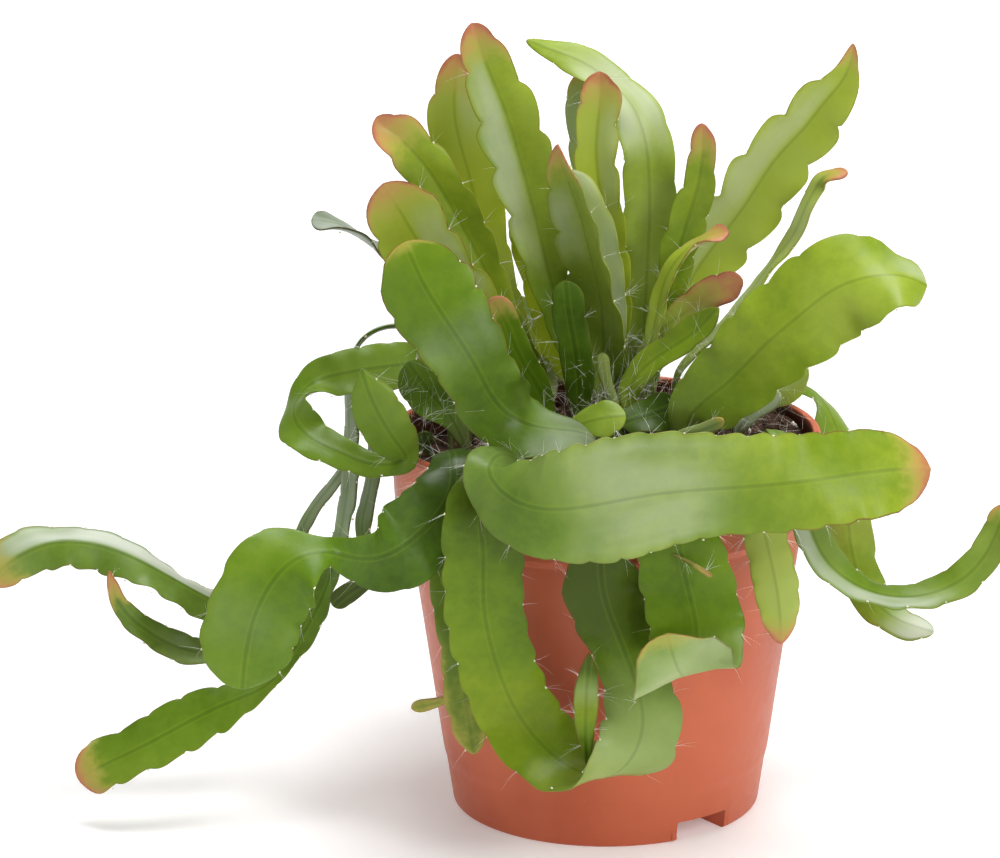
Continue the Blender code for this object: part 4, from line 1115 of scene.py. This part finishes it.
def spotsOnSoil(count, reach):
    turn = chance.uniform(0, math.tau, count)
    radius = reach * np.sqrt(chance.uniform(0, 1, count))
    places = np.stack([radius * np.cos(turn), radius * np.sin(turn), np.zeros(count)], axis=1)
    places[:, 2] = [soilHeight(x, y) for x, y, _ in places]
    return places


def scatterGrains(name, count, sizes, material, fixed=()):
    bm = bmesh.new()
    bmesh.ops.create_icosphere(bm, subdivisions=1, radius=1.0)
    mesh, local = copiesOf(name, meshOf("grain", bm), count)
    places = spotsOnSoil(count, soil["crumbReach"])
    for index, place in enumerate(fixed):
        places[index] = place
    size = sizes[0] + (sizes[1] - sizes[0]) * chance.power(0.6, count)
    rough = local[None] * chance.uniform(0.65, 1.25, (count, len(local), 1))
    rough = rough * chance.uniform(0.6, 1.2, (count, 1, 3)) * size[:, None, None]
    places[:, 2] += size * 0.25
    setPlaces(mesh, (places[:, None] + rough).reshape(-1, 3))
    setAttribute(mesh, "pale", np.repeat(chance.power(0.5, count) * 0.6, len(local)))
    addPiece(name, mesh, material)


def makeFibres():
    count = soil["fibres"]
    roots = spotsOnSoil(count, soil["fibreReach"]) + (0, 0, 0.5)
    turn = chance.uniform(0, math.tau, count)
    ways = unit(np.stack([np.cos(turn), np.sin(turn), chance.uniform(-0.05, 0.35, count)], axis=1))
    sags = np.stack([chance.normal(0, 0.4, count), chance.normal(0, 0.4, count),
                     -np.maximum(ways[:, 2], 0.05)], axis=1)
    lengths = chance.uniform(3.0, 11.0, count)
    thick = chance.uniform(0.08, 0.24, count)
    piece = strands("soilFibres", roots, ways, sags, lengths, thick,
                    soilMaterial("coirFibre", "pale"))
    count = len(piece.data.vertices)
    setAttribute(piece.data, "pale", np.repeat(chance.uniform(0.1, 0.9, count // 12), 12))


makeSoil()
scatterGrains("soilCrumbs", soil["crumbs"], soil["crumbSizes"], soilMaterial("soilCrumb", "pale"))
scatterGrains("perliteGrains", soil["perlite"], soil["perliteSizes"], perliteMaterial(),
              soil["perliteByRim"])
makeFibres()
print("soil made")

studio = {
    "floorSize": 6.0,
    "floor": (0.93, 0.93, 0.93),
    "floorGlow": 0.26, "farGlow": 0.8, "glowReach": (0.5, 1.4),
    "world": (1.0, 1.0, 1.0), "worldStrength": 0.21,
    "horizon": (0.10, 0.16), "horizonStrength": 0.95,  # a bright band low in the sky
    "lights": {
        "overhead": ((0.15, 0.00, 1.25), (0.0, 0.0, 0.10), 0.7, 13.0),
        "keyRight": ((0.75, -0.85, 0.80), (0.0, 0.0, 0.10), 0.5, 6.5),
        "fillLeft": ((-0.95, -0.65, 0.45), (0.0, 0.0, 0.08), 0.9, 1.2),
        "backWash": ((0.0, 1.70, 1.50), (0.0, 1.60, 0.0), 1.8, 14.0),
    },
}


def makeFloor():
    bm = bmesh.new()
    bmesh.ops.create_circle(bm, cap_ends=True, segments=64, radius=studio["floorSize"] / 2)
    floor = placed("floor", meshOf("floor", bm))
    made, nodes = freshMaterial("paleFloor")
    pale = studio["floor"]
    colour = nodes.blend(nodes.noise(nodes.coords, 3.0), pale, tuple(0.98 * value for value in pale))
    glow = nodes.ramp(nodes.radius(), *studio["glowReach"], studio["floorGlow"], studio["farGlow"])
    nodes.finish({"Base Color": colour, "Roughness": 0.7, "Specular IOR Level": 0.2,
                  "Emission Color": colour, "Emission Strength": glow})
    floor.data.materials.append(made)


def makeSky():
    world = bpy.data.worlds.new("studio")
    world.use_nodes = True
    nodes = Nodes(world.node_tree, "Generated")
    glow = nodes.ramp(nodes.axis("Z"), *studio["horizon"], studio["horizonStrength"],
                      studio["worldStrength"])
    nodes.fill(nodes.tree.nodes["Background"], {"Color": studio["world"], "Strength": glow})
    bpy.context.scene.world = world


def makeLights():
    for name, (place, target, size, power) in studio["lights"].items():
        data = bpy.data.lights.new(name, "AREA")
        data.shape = "DISK"
        data.size = size
        data.energy = power
        lamp = placed(name, data)
        aim = (Vector(target) - Vector(place)).to_track_quat("-Z", "Y")
        lamp.matrix_world = Matrix.Translation(place) @ aim.to_matrix().to_4x4()


makeFloor()
makeSky()
makeLights()
bpy.context.scene.view_settings.view_transform = "Standard"
print("studio lit")
